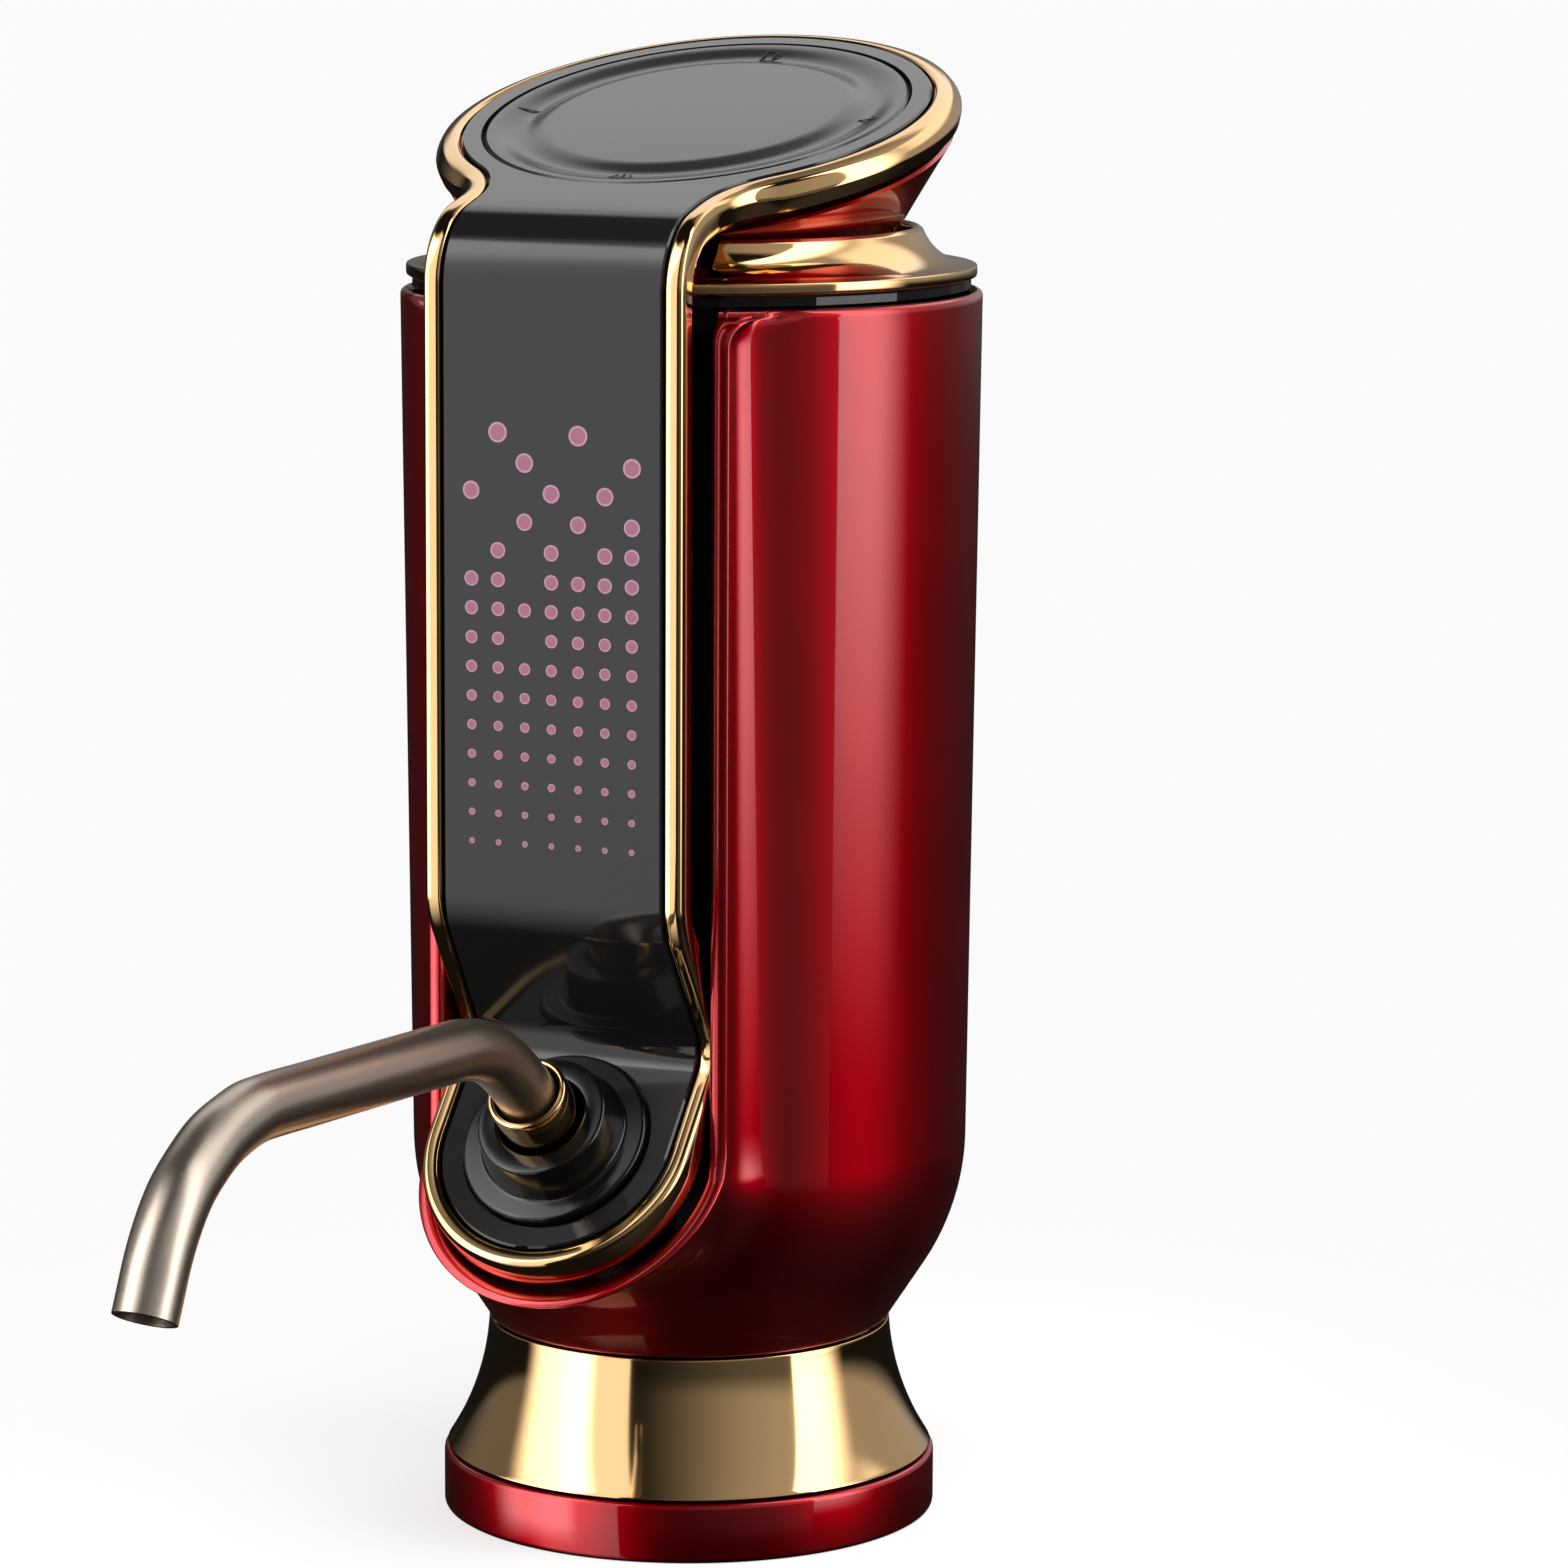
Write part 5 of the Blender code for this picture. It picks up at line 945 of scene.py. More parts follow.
def front_line():
    """Side line of the front as knots (run, y, z, angle), with the runs of its three bends."""
    back = Vector((0, math.cos(DISC_TILT), math.sin(DISC_TILT)))
    rear = DISC_CENTRE + back * (DISC_R + PATH_SPARE)
    bend = (-STRIP_FRONT, DISC_CENTRE.z + (-STRIP_FRONT - DISC_CENTRE.y) * math.tan(DISC_TILT))
    recess = NOZZLE_CENTRE + NOZZLE_UP * RECESS_UP
    end = NOZZLE_CENTRE - NOZZLE_UP * (NOZZLE_PLATE_R + PATH_SPARE)
    corners = [(rear.y, rear.z), bend, (-STRIP_FRONT, RECESS_TOP_Z), (recess.y, recess.z), (end.y, end.z)]
    knots = []
    bends = []

    def add(point, angle):
        run = 0.0
        if knots:
            run = knots[-1][0] + math.hypot(point[0] - knots[-1][1], point[1] - knots[-1][2])
        knots.append((run, point[0], point[1], angle))

    add(corners[0], heading(corners[0], corners[1]))
    radii = (TOP_BEND_R, RECESS_BEND_R, RECESS_CORNER_R)
    for before, corner, after, radius in zip(corners, corners[1:], corners[2:], radii):
        start = heading(before, corner)
        turn = heading(corner, after) - start
        turn = math.atan2(math.sin(turn), math.cos(turn))
        reach = radius * math.tan(abs(turn) / 2)
        side = 1 if turn > 0 else -1
        first = (corner[0] - reach * math.cos(start), corner[1] - reach * math.sin(start))
        centre = (first[0] - side * radius * math.sin(start), first[1] + side * radius * math.cos(start))
        for angle in even_steps(BEND_STEPS, start, start + turn):
            y = centre[0] + side * radius * math.sin(angle)
            add((y, centre[1] - side * radius * math.cos(angle)), angle)
        bends.append((knots[-1 - BEND_STEPS][0], knots[-1][0]))
    add(corners[-1], heading(corners[-2], corners[-1]))
    return knots, bends


KNOTS, BENDS = front_line()
DISC_RUN = DISC_R + PATH_SPARE
NOZZLE_RUN = KNOTS[-1][0] - NOZZLE_PLATE_R - PATH_SPARE


def on_front(x, run, height):
    """Point at x across the front, run along it and height out of its surface."""
    i = 0
    while i < len(KNOTS) - 2 and KNOTS[i + 1][0] < run:
        i += 1
    here, there = KNOTS[i], KNOTS[i + 1]
    share = (run - here[0]) / (there[0] - here[0])
    angle = here[3] + (there[3] - here[3]) * share
    y = here[1] + (there[1] - here[1]) * share + height * math.sin(angle)
    z = here[2] + (there[2] - here[2]) * share - height * math.cos(angle)
    return Vector((x, y, z))


def keyhole(grow):
    """Right half of the keyhole outline from the rear to the nozzle's foot, as (x, run, zone share)."""
    points = []
    middle = STRIP_HALF_W + NECK_FILLET
    along = math.sqrt((DISC_R + NECK_FILLET) ** 2 - middle**2)
    swing = math.pi - math.atan2(middle, along)
    radius = DISC_R + grow
    for angle in even_steps(DISC_STEPS, 0, swing):
        points.append((radius * math.sin(angle), DISC_RUN - radius * math.cos(angle), 0.0))
    tight = NECK_FILLET - grow
    start = math.atan2(along, middle)
    for i in range(1, NECK_STEPS + 1):
        angle = start * (1 - i / NECK_STEPS)
        points.append((
            middle - tight * math.cos(angle), DISC_RUN + along - tight * math.sin(angle), i / NECK_STEPS
        ))
    widen_start = BENDS[1][0]
    widen_end = BENDS[2][1]
    for run, _, _, _ in KNOTS[1:-1]:
        share = max((run - widen_start) / (widen_end - widen_start), 0)
        points.append((STRIP_HALF_W + (NOZZLE_PLATE_R - STRIP_HALF_W) * share + grow, run, 1.0 + share))
    radius = NOZZLE_PLATE_R + grow
    for angle in even_steps(QUARTER_STEPS, 0, math.pi / 2):
        points.append((radius * math.cos(angle), NOZZLE_RUN + radius * math.sin(angle), 2.0))
    return points


def curve_through(points, fine, even=True):
    """Smooth curve through points, which takes its speed from each chord where they are uneven."""
    last = len(points) - 1
    points = [Vector(point) for point in points]
    ways = [points[min(i + 1, last)] - points[max(i - 1, 0)] for i in range(last + 1)]
    made = []
    for i in range(last):
        start, end = points[i:i + 2]
        reach = (end - start).length
        leave, arrive = (way / 2 if even else way.normalized() * reach for way in ways[i:i + 2])
        for k in range(fine):
            t = k / fine
            made.append(
                start * (2 * t**3 - 3 * t**2 + 1) + end * (3 * t**2 - 2 * t**3)
                + leave * (t**3 - 2 * t**2 + t) + arrive * (t**3 - t**2)
            )
    made.append(points[last])
    return made


def frame_section(zone):
    """Section of the gold frame as (outwards, height), blended from the disc's to the strip's."""
    to_strip = min(zone, 1.0)
    to_nozzle = max(zone - 1.0, 0.0)
    strip_depth = FRAME_DEPTH + (RING_DEPTH - FRAME_DEPTH) * to_nozzle
    made = []
    for ring, strip in zip(RING_SECTION_SHARES, STRIP_SECTION_SHARES):
        across = ring[0] * RING_W * (1 - to_strip) + strip[0] * FRAME_W * to_strip
        height = ring[1] * RING_DEPTH * (1 - to_strip) + strip[1] * strip_depth * to_strip
        made.append((GAP + across, height))
    return [Vector(made[0])] + curve_through(made[1:-1], FRAME_FINE) + [Vector(made[-1])]


def gold_frame():
    """Keyhole frame: a bar with a crowned face, lofted round the outline in one loop."""
    zones = [zone for _, _, zone in keyhole(0)]
    sections = [frame_section(zone) for zone in zones]
    bands = [keyhole(sections[0][k][0]) for k in range(len(sections[0]))]
    right = []
    for i, section in enumerate(sections):
        ring = []
        for k, band in enumerate(bands):
            extra = section[k][0] - sections[0][k][0]
            before = band[max(i - 1, 0)]
            after = band[min(i + 1, len(band) - 1)]
            way = Vector((after[1] - before[1], before[0] - after[0])).normalized()
            x, run, _ = band[i]
            ring.append(on_front(x + way[0] * extra, run + way[1] * extra, section[k][1]))
        right.append(ring)
    for ring in (right[0], right[-1]):
        for p in ring:
            p.x = 0.0
    left = [[Vector((-p.x, p.y, p.z)) for p in ring] for ring in reversed(right[1:-1])]
    return lofted("gold_frame", right + left, metallised_gold(), closed_ends=True)


def dark_panel():
    """Acrylic panel over the disc's ring, the strip, the recess and the nozzle plate."""
    rings = []
    wide = keyhole(0)[1:-1]
    narrow = keyhole(-PANEL_EDGE)[1:-1]
    for (x, run, _), (inner_x, inner_run, _) in zip(wide, narrow):
        ring = []
        for side in (1, -1):
            pair = [on_front(side * inner_x, inner_run, 0), on_front(side * x, run, -PANEL_EDGE)]
            ring += pair if side == -1 else pair[::-1]
        ring += [on_front(-x, run, -PANEL_T), on_front(x, run, -PANEL_T)]
        rings.append(ring)
    piece = lofted("dark_panel", rings, panel_gloss())
    out = NOZZLE_AXIS * PATH_SPARE
    cut(piece, rod(STEP_ONE_R + GAP, NOZZLE_CENTRE - out, NOZZLE_CENTRE + out, NOZZLE_HOLE_STEPS))
    out = (DISC_FRAME.to_3x3() @ Vector((0, 0, 1))) * PATH_SPARE
    cut(piece, rod(PAD_R + GAP, DISC_CENTRE - out, DISC_CENTRE + out, ROUND_STEPS))
    return smooth(piece, CUT_SMOOTH_DEGREES)


def pad_height(radius):
    """Height of the pad's face, which sinks into a soft ring between its flat middle and its rim."""
    share = min(max((radius - PAD_FLAT_R) / (DISH_R - PAD_FLAT_R), 0.0), 1.0)
    inner = min(share / DISH_LOW_SHARE, 1.0)
    outer = max((share - DISH_LOW_SHARE) / (1 - DISH_LOW_SHARE), 0.0)
    return -DISH_DEPTH * (math.sin(math.pi / 2 * inner) * math.cos(math.pi / 2 * outer)) ** 2


def touch_pad():
    """Dished pad with a crisp rim, on its stem."""
    profile = [(radius, pad_height(radius)) for radius in even_steps(DISH_POINTS, PAD_FLAT_R, DISH_R)]
    profile += [
        (PAD_R - GAP, 0), (PAD_R, -GAP), (PAD_R, -PAD_RIM_T), (PAD_BODY_R, -PAD_RIM_T),
        (PAD_BODY_R, -PAD_BODY_T), (PAD_STEM_R, -PAD_BODY_T), (PAD_STEM_R, -PAD_STEM_L),
    ]
    return turned("dished_pad", profile, pad_satin(), DISC_FRAME, closed=False)


def pad_marks():
    """Four small signs near the pad's edge: power, minus, plus and a jug, each stroke laid on the dish."""
    ring = []
    for turn in even_steps(MARK_ARC_STEPS, MARK_GAP_TURN, 2 * math.pi - MARK_GAP_TURN):
        ring.append((MARK_R * math.sin(turn), MARK_R * math.cos(turn)))
    bar = [(-MARK_R, 0), (MARK_R, 0)]
    signs = (
        ((0, -1), [ring, [(0, MARK_R / 4), (0, MARK_R)]]),
        ((-1, 0), [bar]),
        ((1, 0), [bar, [(0, -MARK_R), (0, MARK_R)]]),
        ((0, 1), [[(MARK_R * x, MARK_R * y) for x, y in JUG_SHARES]]),
    )
    strokes = []
    for (aside, ahead), lines in signs:
        for line in lines:
            for start, end in zip(line, line[1:]):
                along = Vector(end) - Vector(start)
                fresh()
                bpy.ops.mesh.primitive_cube_add(
                    size=1, rotation=(0, 0, math.atan2(along.y, along.x)),
                    location=(
                        (start[0] + end[0]) / 2 + aside * MARK_PLACE_R,
                        (start[1] + end[1]) / 2 + ahead * MARK_PLACE_R, 0,
                    ),
                    scale=(along.length + MARK_LINE, MARK_LINE, MARK_RISE * 2),
                )
                strokes.append(settle(bpy.context.object))
    piece = joined(strokes, "pad_marks")
    for corner in piece.data.vertices:
        corner.co.z += pad_height(math.hypot(corner.co.x, corner.co.y))
    settle(piece, DISC_FRAME)
    dress(piece, mark_ink())
    return piece


def spout_route():
    """Centre line of the spout from its seat to its end."""
    root = NOZZLE_CENTRE - NOZZLE_AXIS * SPOUT_SEAT
    throat = NOZZLE_CENTRE + NOZZLE_AXIS * (STEP_TWO_H + COLLAR_H)
    route = [root, throat]
    for start, end, shares in (
        (throat, SPOUT_SHOULDER, SPOUT_ELBOW_SHARES),
        (SPOUT_SHOULDER, SPOUT_CREST, SPOUT_RUN_SHARES),
        (SPOUT_CREST, SPOUT_END, SPOUT_BEND_SHARES),
    ):
        for along, up in shares:
            y = start.y + (end.y - start.y) * along
            route.append(Vector((0, y, start.z + (end.z - start.z) * up)))
    return route


def spout():
    """Bent tube with an open end."""
    fresh()
    curve = bpy.data.curves.new("steel_spout", "CURVE")
    curve.dimensions = "3D"
    curve.bevel_depth = SPOUT_R
    curve.bevel_resolution = SPOUT_QUARTER_STEPS
    points = curve_through(spout_route(), SPOUT_FINE, even=False)
    line = curve.splines.new("POLY")
    line.points.add(len(points) - 1)
    for knot, point in zip(line.points, points):
        knot.co = (*point, 1)
    select_only(linked("steel_spout", curve))
    bpy.ops.object.convert(target="MESH")
    piece = named("steel_spout")
    wall = piece.modifiers.new("wall", "SOLIDIFY")
    wall.thickness = SPOUT_WALL
    wall.offset = -1
    apply_modifiers(piece)
    outwards(piece)
    dress(piece, spout_steel())
    return smooth(piece, CUT_SMOOTH_DEGREES)


def nozzle():
    """Stepped black boss with its gland and rear nipple."""
    outline = [
        (GLAND_R, STEP_TWO_H), (STEP_TWO_TOP_R, STEP_TWO_H), (STEP_TWO_R, STEP_ONE_H),
        (STEP_ONE_R, STEP_ONE_H), (STEP_ONE_R, -PANEL_T), (STEM_R, -PANEL_T), (STEM_R, -STEM_DEPTH),
        (NIPPLE_R, -STEM_DEPTH), (NIPPLE_R, -STEM_DEPTH - NIPPLE_L),
        (NIPPLE_BORE_R, -STEM_DEPTH - NIPPLE_L), (NIPPLE_BORE_R, -GLAND_DEPTH), (GLAND_R, -GLAND_DEPTH),
    ]
    return turned("black_nozzle", soften(outline, STEP_EDGE), nozzle_satin(), NOZZLE_FRAME)


def collar():
    """Gold collar at the spout's foot."""
    low = STEP_TWO_H - COLLAR_SUNK
    top = STEP_TWO_H + COLLAR_H
    bore = SPOUT_R + SPOUT_BORE_PLAY
    outline = [(bore, low), (COLLAR_R, low), (COLLAR_R, top), (bore, top)]
    return turned("gold_collar", soften(outline, GAP), metallised_gold(), NOZZLE_FRAME)


def shoulder():
    """Gold shoulder, open at the front for the strip."""
    top_z = SHOULDER_Z + SHOULDER_H
    edge_z = SHOULDER_Z + SHOULDER_EDGE_H
    crest = (SHOULDER_TOP_R + SHOULDER_BORE_R) / 2
    outline = [
        (SHOULDER_BORE_R, SHOULDER_Z), (SHOULDER_BORE_R, top_z - SHOULDER_LIP_DROP), (crest, top_z),
    ]
    outline += arc_between(
        (SHOULDER_TOP_R, top_z - SHOULDER_LIP_DROP), SHOULDER_TOP_LEAN, (SHOULDER_FOOT_R, edge_z), BEND_STEPS
    )
    outline += [(SHOULDER_FOOT_R, SHOULDER_Z)]
    piece = turned("gold_shoulder", soften(outline, GAP), metallised_gold())
    half = STRIP_HALF_W + GAP
    cut(piece, block((-half, -STRIP_FRONT * 2, SHOULDER_Z - GAP), (half, 0, top_z + GAP)))
    return smooth(piece, CUT_SMOOTH_DEGREES)


def head_cone():
    """Red cone from a level foot to the tilted rim."""
    rim_height = -RING_DEPTH - GAP
    foot_z = SHOULDER_Z
    knee_z = foot_z + HEAD_FOOT_H
    rings = []
    up = Vector((0, 0, 1))
    inner = HEAD_FOOT_R - HEAD_WALL
    for angle in even_steps(sizes().round_steps, 0, 2 * math.pi)[:-1]:
        flat = Vector((math.cos(angle), math.sin(angle), 0))
        rim, bore = (DISC_FRAME @ (flat * r + up * rim_height) for r in (HEAD_RIM_R, HEAD_RIM_BORE_R))
        outer = [flat * HEAD_FOOT_R + up * foot_z, flat * HEAD_FOOT_R + up * knee_z]
        rings.append(outer + [
            rim - up * GAP, rim - flat * GAP, bore, flat * inner + up * knee_z, flat * inner + up * foot_z
        ])
    return lofted("red_head_cone", rings, candy_lacquer(), closed_ends=True)


def base():
    """Red ring that the aerator stands on."""
    bore = SOCKET_R + SLEEVE_WALL + GAP
    outline = [(bore, 0), (BASE_R, 0), (BASE_R, BASE_H), (bore, BASE_H)]
    return turned("red_base_ring", soften(outline, GAP * 2), candy_lacquer())


def skirt():
    """Gold skirt that flares from the waist to the base ring."""
    top = (SKIRT_TOP_R, WAIST_Z - GAP)
    foot = (SKIRT_TOP_R + SKIRT_FLARE, BASE_H + GAP)
    outer = arc_between(top, SKIRT_TOP_LEAN, foot, BEND_STEPS * 2)
    outline = outer + [(r - SKIRT_WALL, z) for r, z in reversed(outer)]
    return turned("gold_skirt", soften(outline, GAP / 2), metallised_gold())


def sleeve():
    """Black socket for the bottle's lip, closed above."""
    outer = SOCKET_R + SLEEVE_WALL
    crown = SKIRT_TOP_R - SKIRT_WALL - GAP
    top = WAIST_Z - GAP
    outline = [
        (SOCKET_R, GAP), (outer, GAP), (outer, CEILING_Z - SLEEVE_WALL), (crown, CEILING_Z), (crown, top),
        (SLEEVE_PASSAGE_R, top), (SLEEVE_PASSAGE_R, CEILING_Z), (SOCKET_R, CEILING_Z),
    ]
    return turned("black_socket", outline, moulded("black_moulded_abs_socket", "101010", "1A1A1A", 0.42))


def stopper():
    """Silicone stopper with its gasket, bored for wine and air."""
    flange = SOCKET_R - GAP * 4 / 3
    top = CEILING_Z - GAP
    outline = [
        (STOPPER_TIP_R - GAP * 2, GAP), (STOPPER_TIP_R, GAP * 3), (STOPPER_TOP_R, GASKET_Z),
        (flange, GASKET_Z), (flange, top),
    ]
    silicone = moulded("translucent_grey_silicone", "8A8A88", "989895", 0.45)
    piece = turned("silicone_stopper", outline, silicone, closed=False)
    for x, radius in (WINE_BORE, AIR_BORE):
        cut(piece, rod(radius, (x, 0, -GAP), (x, 0, CEILING_Z), BORE_STEPS))
    return smooth(piece)


def dots():
    """Printed dots of the light strip, largest at the top."""
    size = sizes()
    fresh()
    bpy.ops.mesh.primitive_circle_add(
        vertices=DOT_STEPS, radius=1 / 2, fill_type="NGON", location=(0, 0, 0), rotation=(math.pi / 2, 0, 0)
    )
    first = settle(named("light_dots"))
    dress(first, dot_ink(), dot_rim_ink())
    edit_all(first)
    bpy.ops.mesh.extrude_region_move(TRANSFORM_OT_translate={"value": (0, -DOT_DRAFT_RISE, 0)})
    edit_done()
    outwards(first)
    edit_all(first)
    bpy.ops.mesh.select_all(action="DESELECT")
    edit_done()
    for face in first.data.polygons:
        face.select = face.normal.y < -1 / 2
        face.material_index = 1
    bpy.ops.object.mode_set(mode="EDIT")
    bpy.ops.mesh.inset(thickness=(1 - DOT_RIM_SHARE) / 2, depth=0)
    edit_done()
    for face in first.data.polygons:
        if face.select:
            face.material_index = 0
    copies = []
    middle = (len(DOT_COLUMNS) - 1) / 2
    for column, rows in enumerate(DOT_COLUMNS):
        for row in rows:
            share = row / DOT_TOP_ROW
            across = size.dot_smallest + (size.dot_largest - size.dot_smallest) * share
            mesh = first.data.copy()
            place = Matrix.Translation((
                (column - middle) * size.dot_pitch, -STRIP_FRONT, DOT_LOW_Z + row * size.dot_pitch
            ))
            mesh.transform(place @ Matrix.Diagonal((across, DOT_RISE / DOT_DRAFT_RISE, across, 1)))
            copies.append(linked("light_dots", mesh))
    bpy.data.objects.remove(first, do_unlink=True)
    return joined(copies, "light_dots")


def cad_materials():
    """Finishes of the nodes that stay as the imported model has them, each given by the start of its name."""
    groups = (
        (lid_lacquer_and_painted_shade(), "body_lid"),
        (moulded("black_glass_filled_nylon", "080707", "0E0D0D", 0.50),
         "battery_trough front_tray head_deck inner_chassis motor_bracket nozzle_nut port_bezel "
         "switch_plunger tact_switch"),
        (moulded("white_moulded_acetal", "C8C8C4", "D4D4D0", 0.40),
         "check_valve pump_cover pump_crank pump_housing"),
        (moulded("black_nitrile_rubber", "0C0C0C", "151515", 0.65),
         "pump_diaphragm spout_o_ring"),
        (moulded("milky_silicone_tube", "B9B9B4", "C8C8C3", 0.40),
         "air_tube wine_tube"),
        (moulded("green_solder_mask_on_glass_laminate", "0E4A2A", "12552F", 0.35),
         "light_board main_board touch_board"),
        (moulded("milky_acrylic_light_guide", "D2D0CC", "DEDCD8", 0.35), "light_guide"),
        (moulded("blue_shrink_wrap_on_cell", "1B3E78", "204888", 0.35), "battery_cell"),
        (plain_metal("nickel_plated_motor_can", "A8A6A2", "BAB8B4", 0.30), "motor_can"),
        (plain_metal("zinc_plated_screw_steel", "A5A5A2", "B8B8B4", 0.32),
         "base_screw deck_screw motor_shaft tray_screw"),
        (plain_metal("nickel_plated_socket_shell", "9A9996", "B0AFAB", 0.28), "charge_socket"),
    )
    for material, starts in groups:
        for name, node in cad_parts.items():
            if name.startswith(tuple(starts.split())):
                dress(node, material)


def stands_for(piece, body, slot_name, *nodes):
    """Hang a piece on its body's empty and hide the nodes that it replaces. The slot name is not used."""
    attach(piece, body)
    if nodes:
        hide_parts(*nodes)


class AERATOR_OT_body(Operator):
    """Model the red body with its lip"""

    bl_idname = "aerator.body"
    bl_label = "Red body"

    def execute(self, context):
        piece = red_body()
        port_hole(piece)
        stands_for(piece, "aerator", "red_lacquer", "body_shell")
        return {"FINISHED"}


class AERATOR_OT_foot(Operator):
    """Model the base ring, the skirt, the bottle socket and the stopper"""

    bl_idname = "aerator.foot"
    bl_label = "Foot and socket"

    def execute(self, context):
        stands_for(base(), "aerator", "red_lacquer", "base_ring")
        stands_for(skirt(), "aerator", "gold_plate", "neck_skirt")
        stands_for(sleeve(), "aerator", "inner_black", "neck_sleeve")
        stands_for(stopper(), "aerator", "silicone", "bottle_stopper")
        return {"FINISHED"}


class AERATOR_OT_head(Operator):
    """Model the shoulder and the cone under the touch disc"""

    bl_idname = "aerator.head"
    bl_label = "Shoulder and head"

    def execute(self, context):
        stands_for(shoulder(), "aerator", "gold_plate", "shoulder_collar")
        stands_for(head_cone(), "aerator", "red_lacquer", "head_shell")
        return {"FINISHED"}


class AERATOR_OT_front(Operator):
    """Model the gold frame, the dark panel and the dots of the strip"""

    bl_idname = "aerator.front"
    bl_label = "Frame, panel and dots"

    def execute(self, context):
        stands_for(gold_frame(), "aerator", "gold_plate", "front_frame")
        stands_for(dark_panel(), "aerator", "strip_glass", "front_panel")
        stands_for(dots(), "aerator", "strip_glass")
        return {"FINISHED"}


class AERATOR_OT_pad(Operator):
    """Model the dished touch pad"""

    bl_idname = "aerator.pad"
    bl_label = "Touch pad"

    def execute(self, context):
        stands_for(touch_pad(), "pad", "pad_grey", "touch_pad")
        stands_for(pad_marks(), "pad", "pad_grey")
        return {"FINISHED"}


class AERATOR_OT_spout(Operator):
    """Model the nozzle, the gold collar and the steel spout"""

    bl_idname = "aerator.spout"
    bl_label = "Nozzle and spout"

    def execute(self, context):
        stands_for(nozzle(), "aerator", "nozzle_black", "nozzle_boss")
        stands_for(collar(), "spout", "gold_plate", "spout_collar")
        stands_for(spout(), "spout", "spout_steel", "spout_tube")
        return {"FINISHED"}


class AERATOR_OT_inner(Operator):
    """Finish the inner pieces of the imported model"""

    bl_idname = "aerator.inner"
    bl_label = "Inner pieces"

    def execute(self, context):
        cad_materials()
        return {"FINISHED"}


class AERATOR_OT_stage(Operator):
    """Set the floor, the studio and the camera"""

    bl_idname = "aerator.stage"
    bl_label = "Stage"

    def execute(self, context):
        floor()
        studio()
        lamps()
        camera()
        context.scene.view_settings.view_transform = "Standard"
        return {"FINISHED"}


def floor():
    """Round pale floor, whose shadowed middle fades into the white round it."""
    fresh()
    bpy.ops.mesh.primitive_circle_add(
        vertices=FLOOR_STEPS, radius=FLOOR_R, fill_type="NGON", location=(0, 0, 0)
    )
    piece = named("floor")
    made = bpy.data.materials.new("pale_matt_paper")
    tree = empty_tree(made)
    place = add_node(tree, "ShaderNodeTexCoord")
    far = add_node(tree, "ShaderNodeVectorMath", {"operation": "LENGTH"}, {0: place.outputs["Object"]})
    fade = mapped(
        tree, far.outputs["Value"], (FLOOR_SHADE_FROM, FLOOR_SHADE_TO), (FLOOR_SHADE_SHARE, 0.0)
    )
    glow = add_node(tree, "ShaderNodeEmission", {"Color": (1, 1, 1, 1), "Strength": FLOOR_WHITE})
    paper = add_node(tree, "ShaderNodeBsdfDiffuse", {"Color": (FLOOR_GREY,) * 3 + (1,)})
    shown(tree, fade, glow, paper, "ShaderNodeOutputMaterial")
    dress(piece, made)
    piece.visible_glossy = False


def between(tree, value, low, high, edges):
    """Output that is 1 while value lies between low and high, with soft edges."""
    rise = mapped(tree, value, (low, low + edges[0]), (0.0, 1.0))
    fall = mapped(tree, value, (high - edges[1], high), (1.0, 0.0))
    return maths(tree, "MULTIPLY", rise, fall)


def studio():
    """World of soft boxes round the object, seen by reflections; the camera sees plain white."""
    world = bpy.data.worlds.new("studio")
    bpy.context.scene.world = world
    tree = empty_tree(world)
    way = add_node(tree, "ShaderNodeTexCoord").outputs["Generated"]
    x, y, z = add_node(tree, "ShaderNodeSeparateXYZ", None, {0: way}).outputs
    azimuth = maths(tree, "DEGREES", maths(tree, "ARCTAN2", x, maths(tree, "MULTIPLY", y, -1.0)))
    elevation = maths(tree, "DEGREES", maths(tree, "ARCSINE", z))
    level = STUDIO_BASE
    for first, last, low, high, left, right, edges, strength in STUDIO_BOXES:
        up = between(tree, elevation, low, high, edges)
        spans = [(first, last)]
        if last > 180:
            spans.append((first - 360, last - 360))
        for start, end in spans:
            across = between(tree, azimuth, start, end, (left, right))
            level = maths(tree, "MULTIPLY_ADD", maths(tree, "MULTIPLY", across, up), strength, level)
    boxes = add_node(tree, "ShaderNodeBackground", {"Color": (1, 1, 1, 1)}, {"Strength": level})
    white = add_node(tree, "ShaderNodeBackground", {"Color": (1, 1, 1, 1), "Strength": FLOOR_WHITE})
    path = add_node(tree, "ShaderNodeLightPath").outputs
    plain = maths(tree, "MAXIMUM", path["Is Camera Ray"], path["Is Transmission Ray"])
    shown(tree, plain, boxes, white, "ShaderNodeOutputWorld")


def lamps():
    """One large soft lamp above, for the floor's faint shadow."""
    bpy.ops.object.light_add(type="AREA", location=LAMP_PLACE)
    lamp = bpy.context.object
    lamp.name = "top_lamp"
    lamp.data.shape = "DISK"
    lamp.data.size = LAMP_ACROSS
    lamp.data.energy = LAMP_WATTS
    lamp.visible_camera = False
    lamp.visible_glossy = False
    lamp.rotation_euler = (LAMP_AIM - LAMP_PLACE).to_track_quat("-Z", "Y").to_euler()


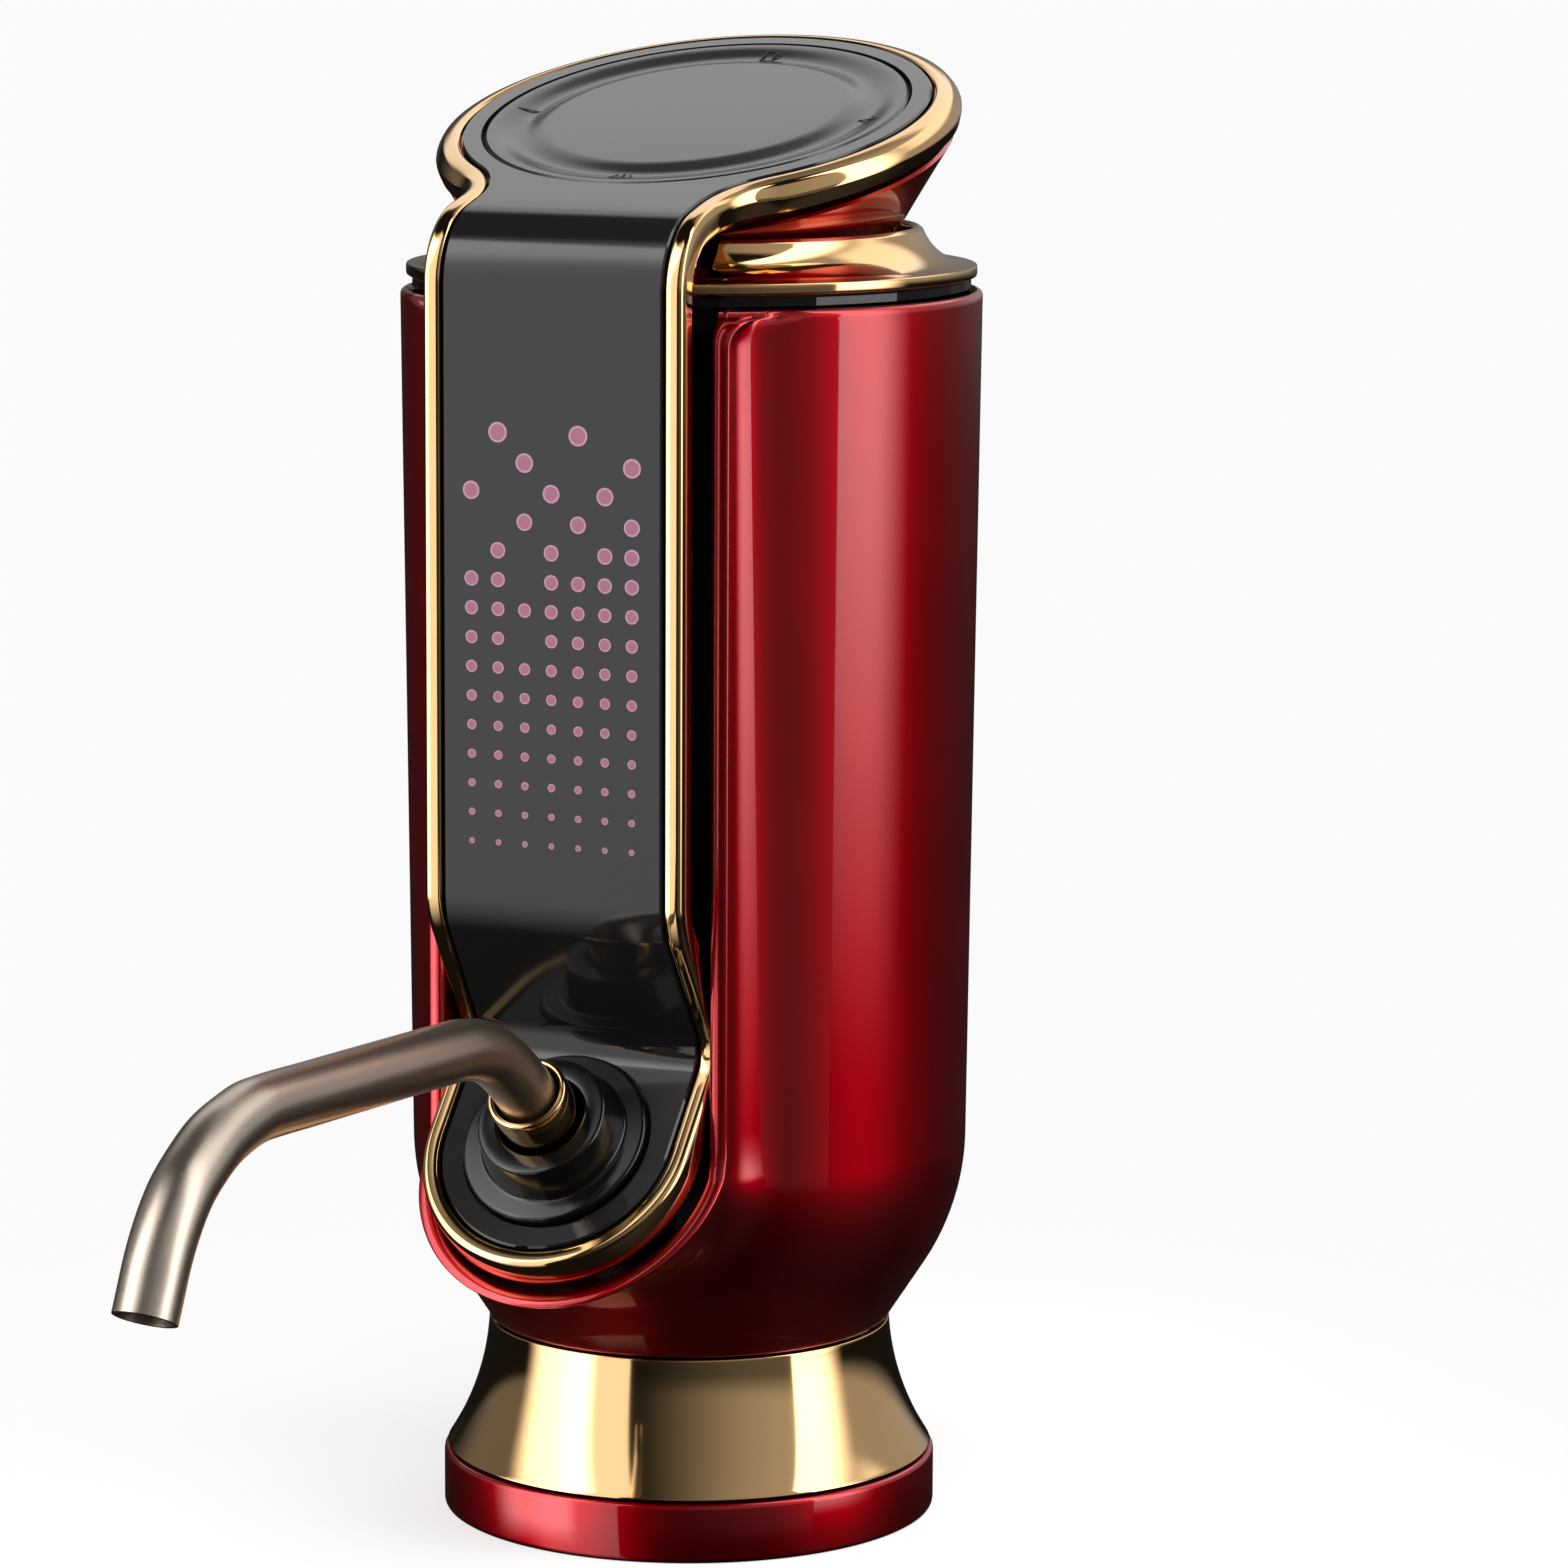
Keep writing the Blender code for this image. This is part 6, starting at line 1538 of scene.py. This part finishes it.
def camera():
    """Camera at the photograph's place."""
    sideways = Vector((math.cos(CAMERA_AZIMUTH), math.sin(CAMERA_AZIMUTH), 0))
    ahead = Vector((-math.sin(CAMERA_AZIMUTH), math.cos(CAMERA_AZIMUTH), 0))
    place = sideways * CAMERA_ASIDE - ahead * CAMERA_AWAY + Vector((0, 0, CAMERA_HIGH))
    turn = (
        Matrix.Rotation(CAMERA_AZIMUTH, 4, "Z")
        @ Matrix.Rotation(math.pi / 2 - CAMERA_PITCH, 4, "X")
        @ Matrix.Rotation(CAMERA_ROLL, 4, "Z")
    )
    bpy.ops.object.camera_add(location=place, rotation=turn.to_euler())
    made = bpy.context.object
    made.name = "photo_camera"
    made.data.lens = CAMERA_LENS_MM
    made.data.sensor_width = CAMERA_SENSOR_MM
    made.data.clip_start = CAMERA_CLIP
    bpy.context.scene.camera = made


PIECE_OPERATORS = (
    AERATOR_OT_inner, AERATOR_OT_body, AERATOR_OT_foot, AERATOR_OT_head, AERATOR_OT_front, AERATOR_OT_pad,
    AERATOR_OT_spout, AERATOR_OT_stage,
)


class AERATOR_PT_panel(Panel):
    """Panel that lists the pieces"""

    bl_label = "Wine aerator"
    bl_idname = "AERATOR_PT_panel"
    bl_space_type = "VIEW_3D"
    bl_region_type = "UI"
    bl_category = "Aerator"

    def draw(self, context):
        column = self.layout.column()
        for group in (context.scene.aerator_sizes, context.scene.aerator_colours):
            for name in group.__annotations__:
                column.prop(group, name)
        for operator in PIECE_OPERATORS:
            column.operator(operator.bl_idname)


CLASSES = (AeratorSizes, AeratorColours, *PIECE_OPERATORS, AERATOR_PT_panel)


def register():
    """Register the classes and the settings."""
    for item in CLASSES:
        bpy.utils.register_class(item)
    bpy.types.Scene.aerator_sizes = PointerProperty(type=AeratorSizes)
    bpy.types.Scene.aerator_colours = PointerProperty(type=AeratorColours)


def unregister():
    """Remove the settings and the classes."""
    del bpy.types.Scene.aerator_colours
    del bpy.types.Scene.aerator_sizes
    for item in reversed(CLASSES):
        bpy.utils.unregister_class(item)


def main():
    """Model every piece."""
    register()
    bpy.ops.aerator.inner()
    bpy.ops.aerator.body()
    bpy.ops.aerator.foot()
    bpy.ops.aerator.head()
    bpy.ops.aerator.front()
    bpy.ops.aerator.pad()
    bpy.ops.aerator.spout()
    bpy.ops.aerator.stage()


if __name__ == "__main__":
    main()
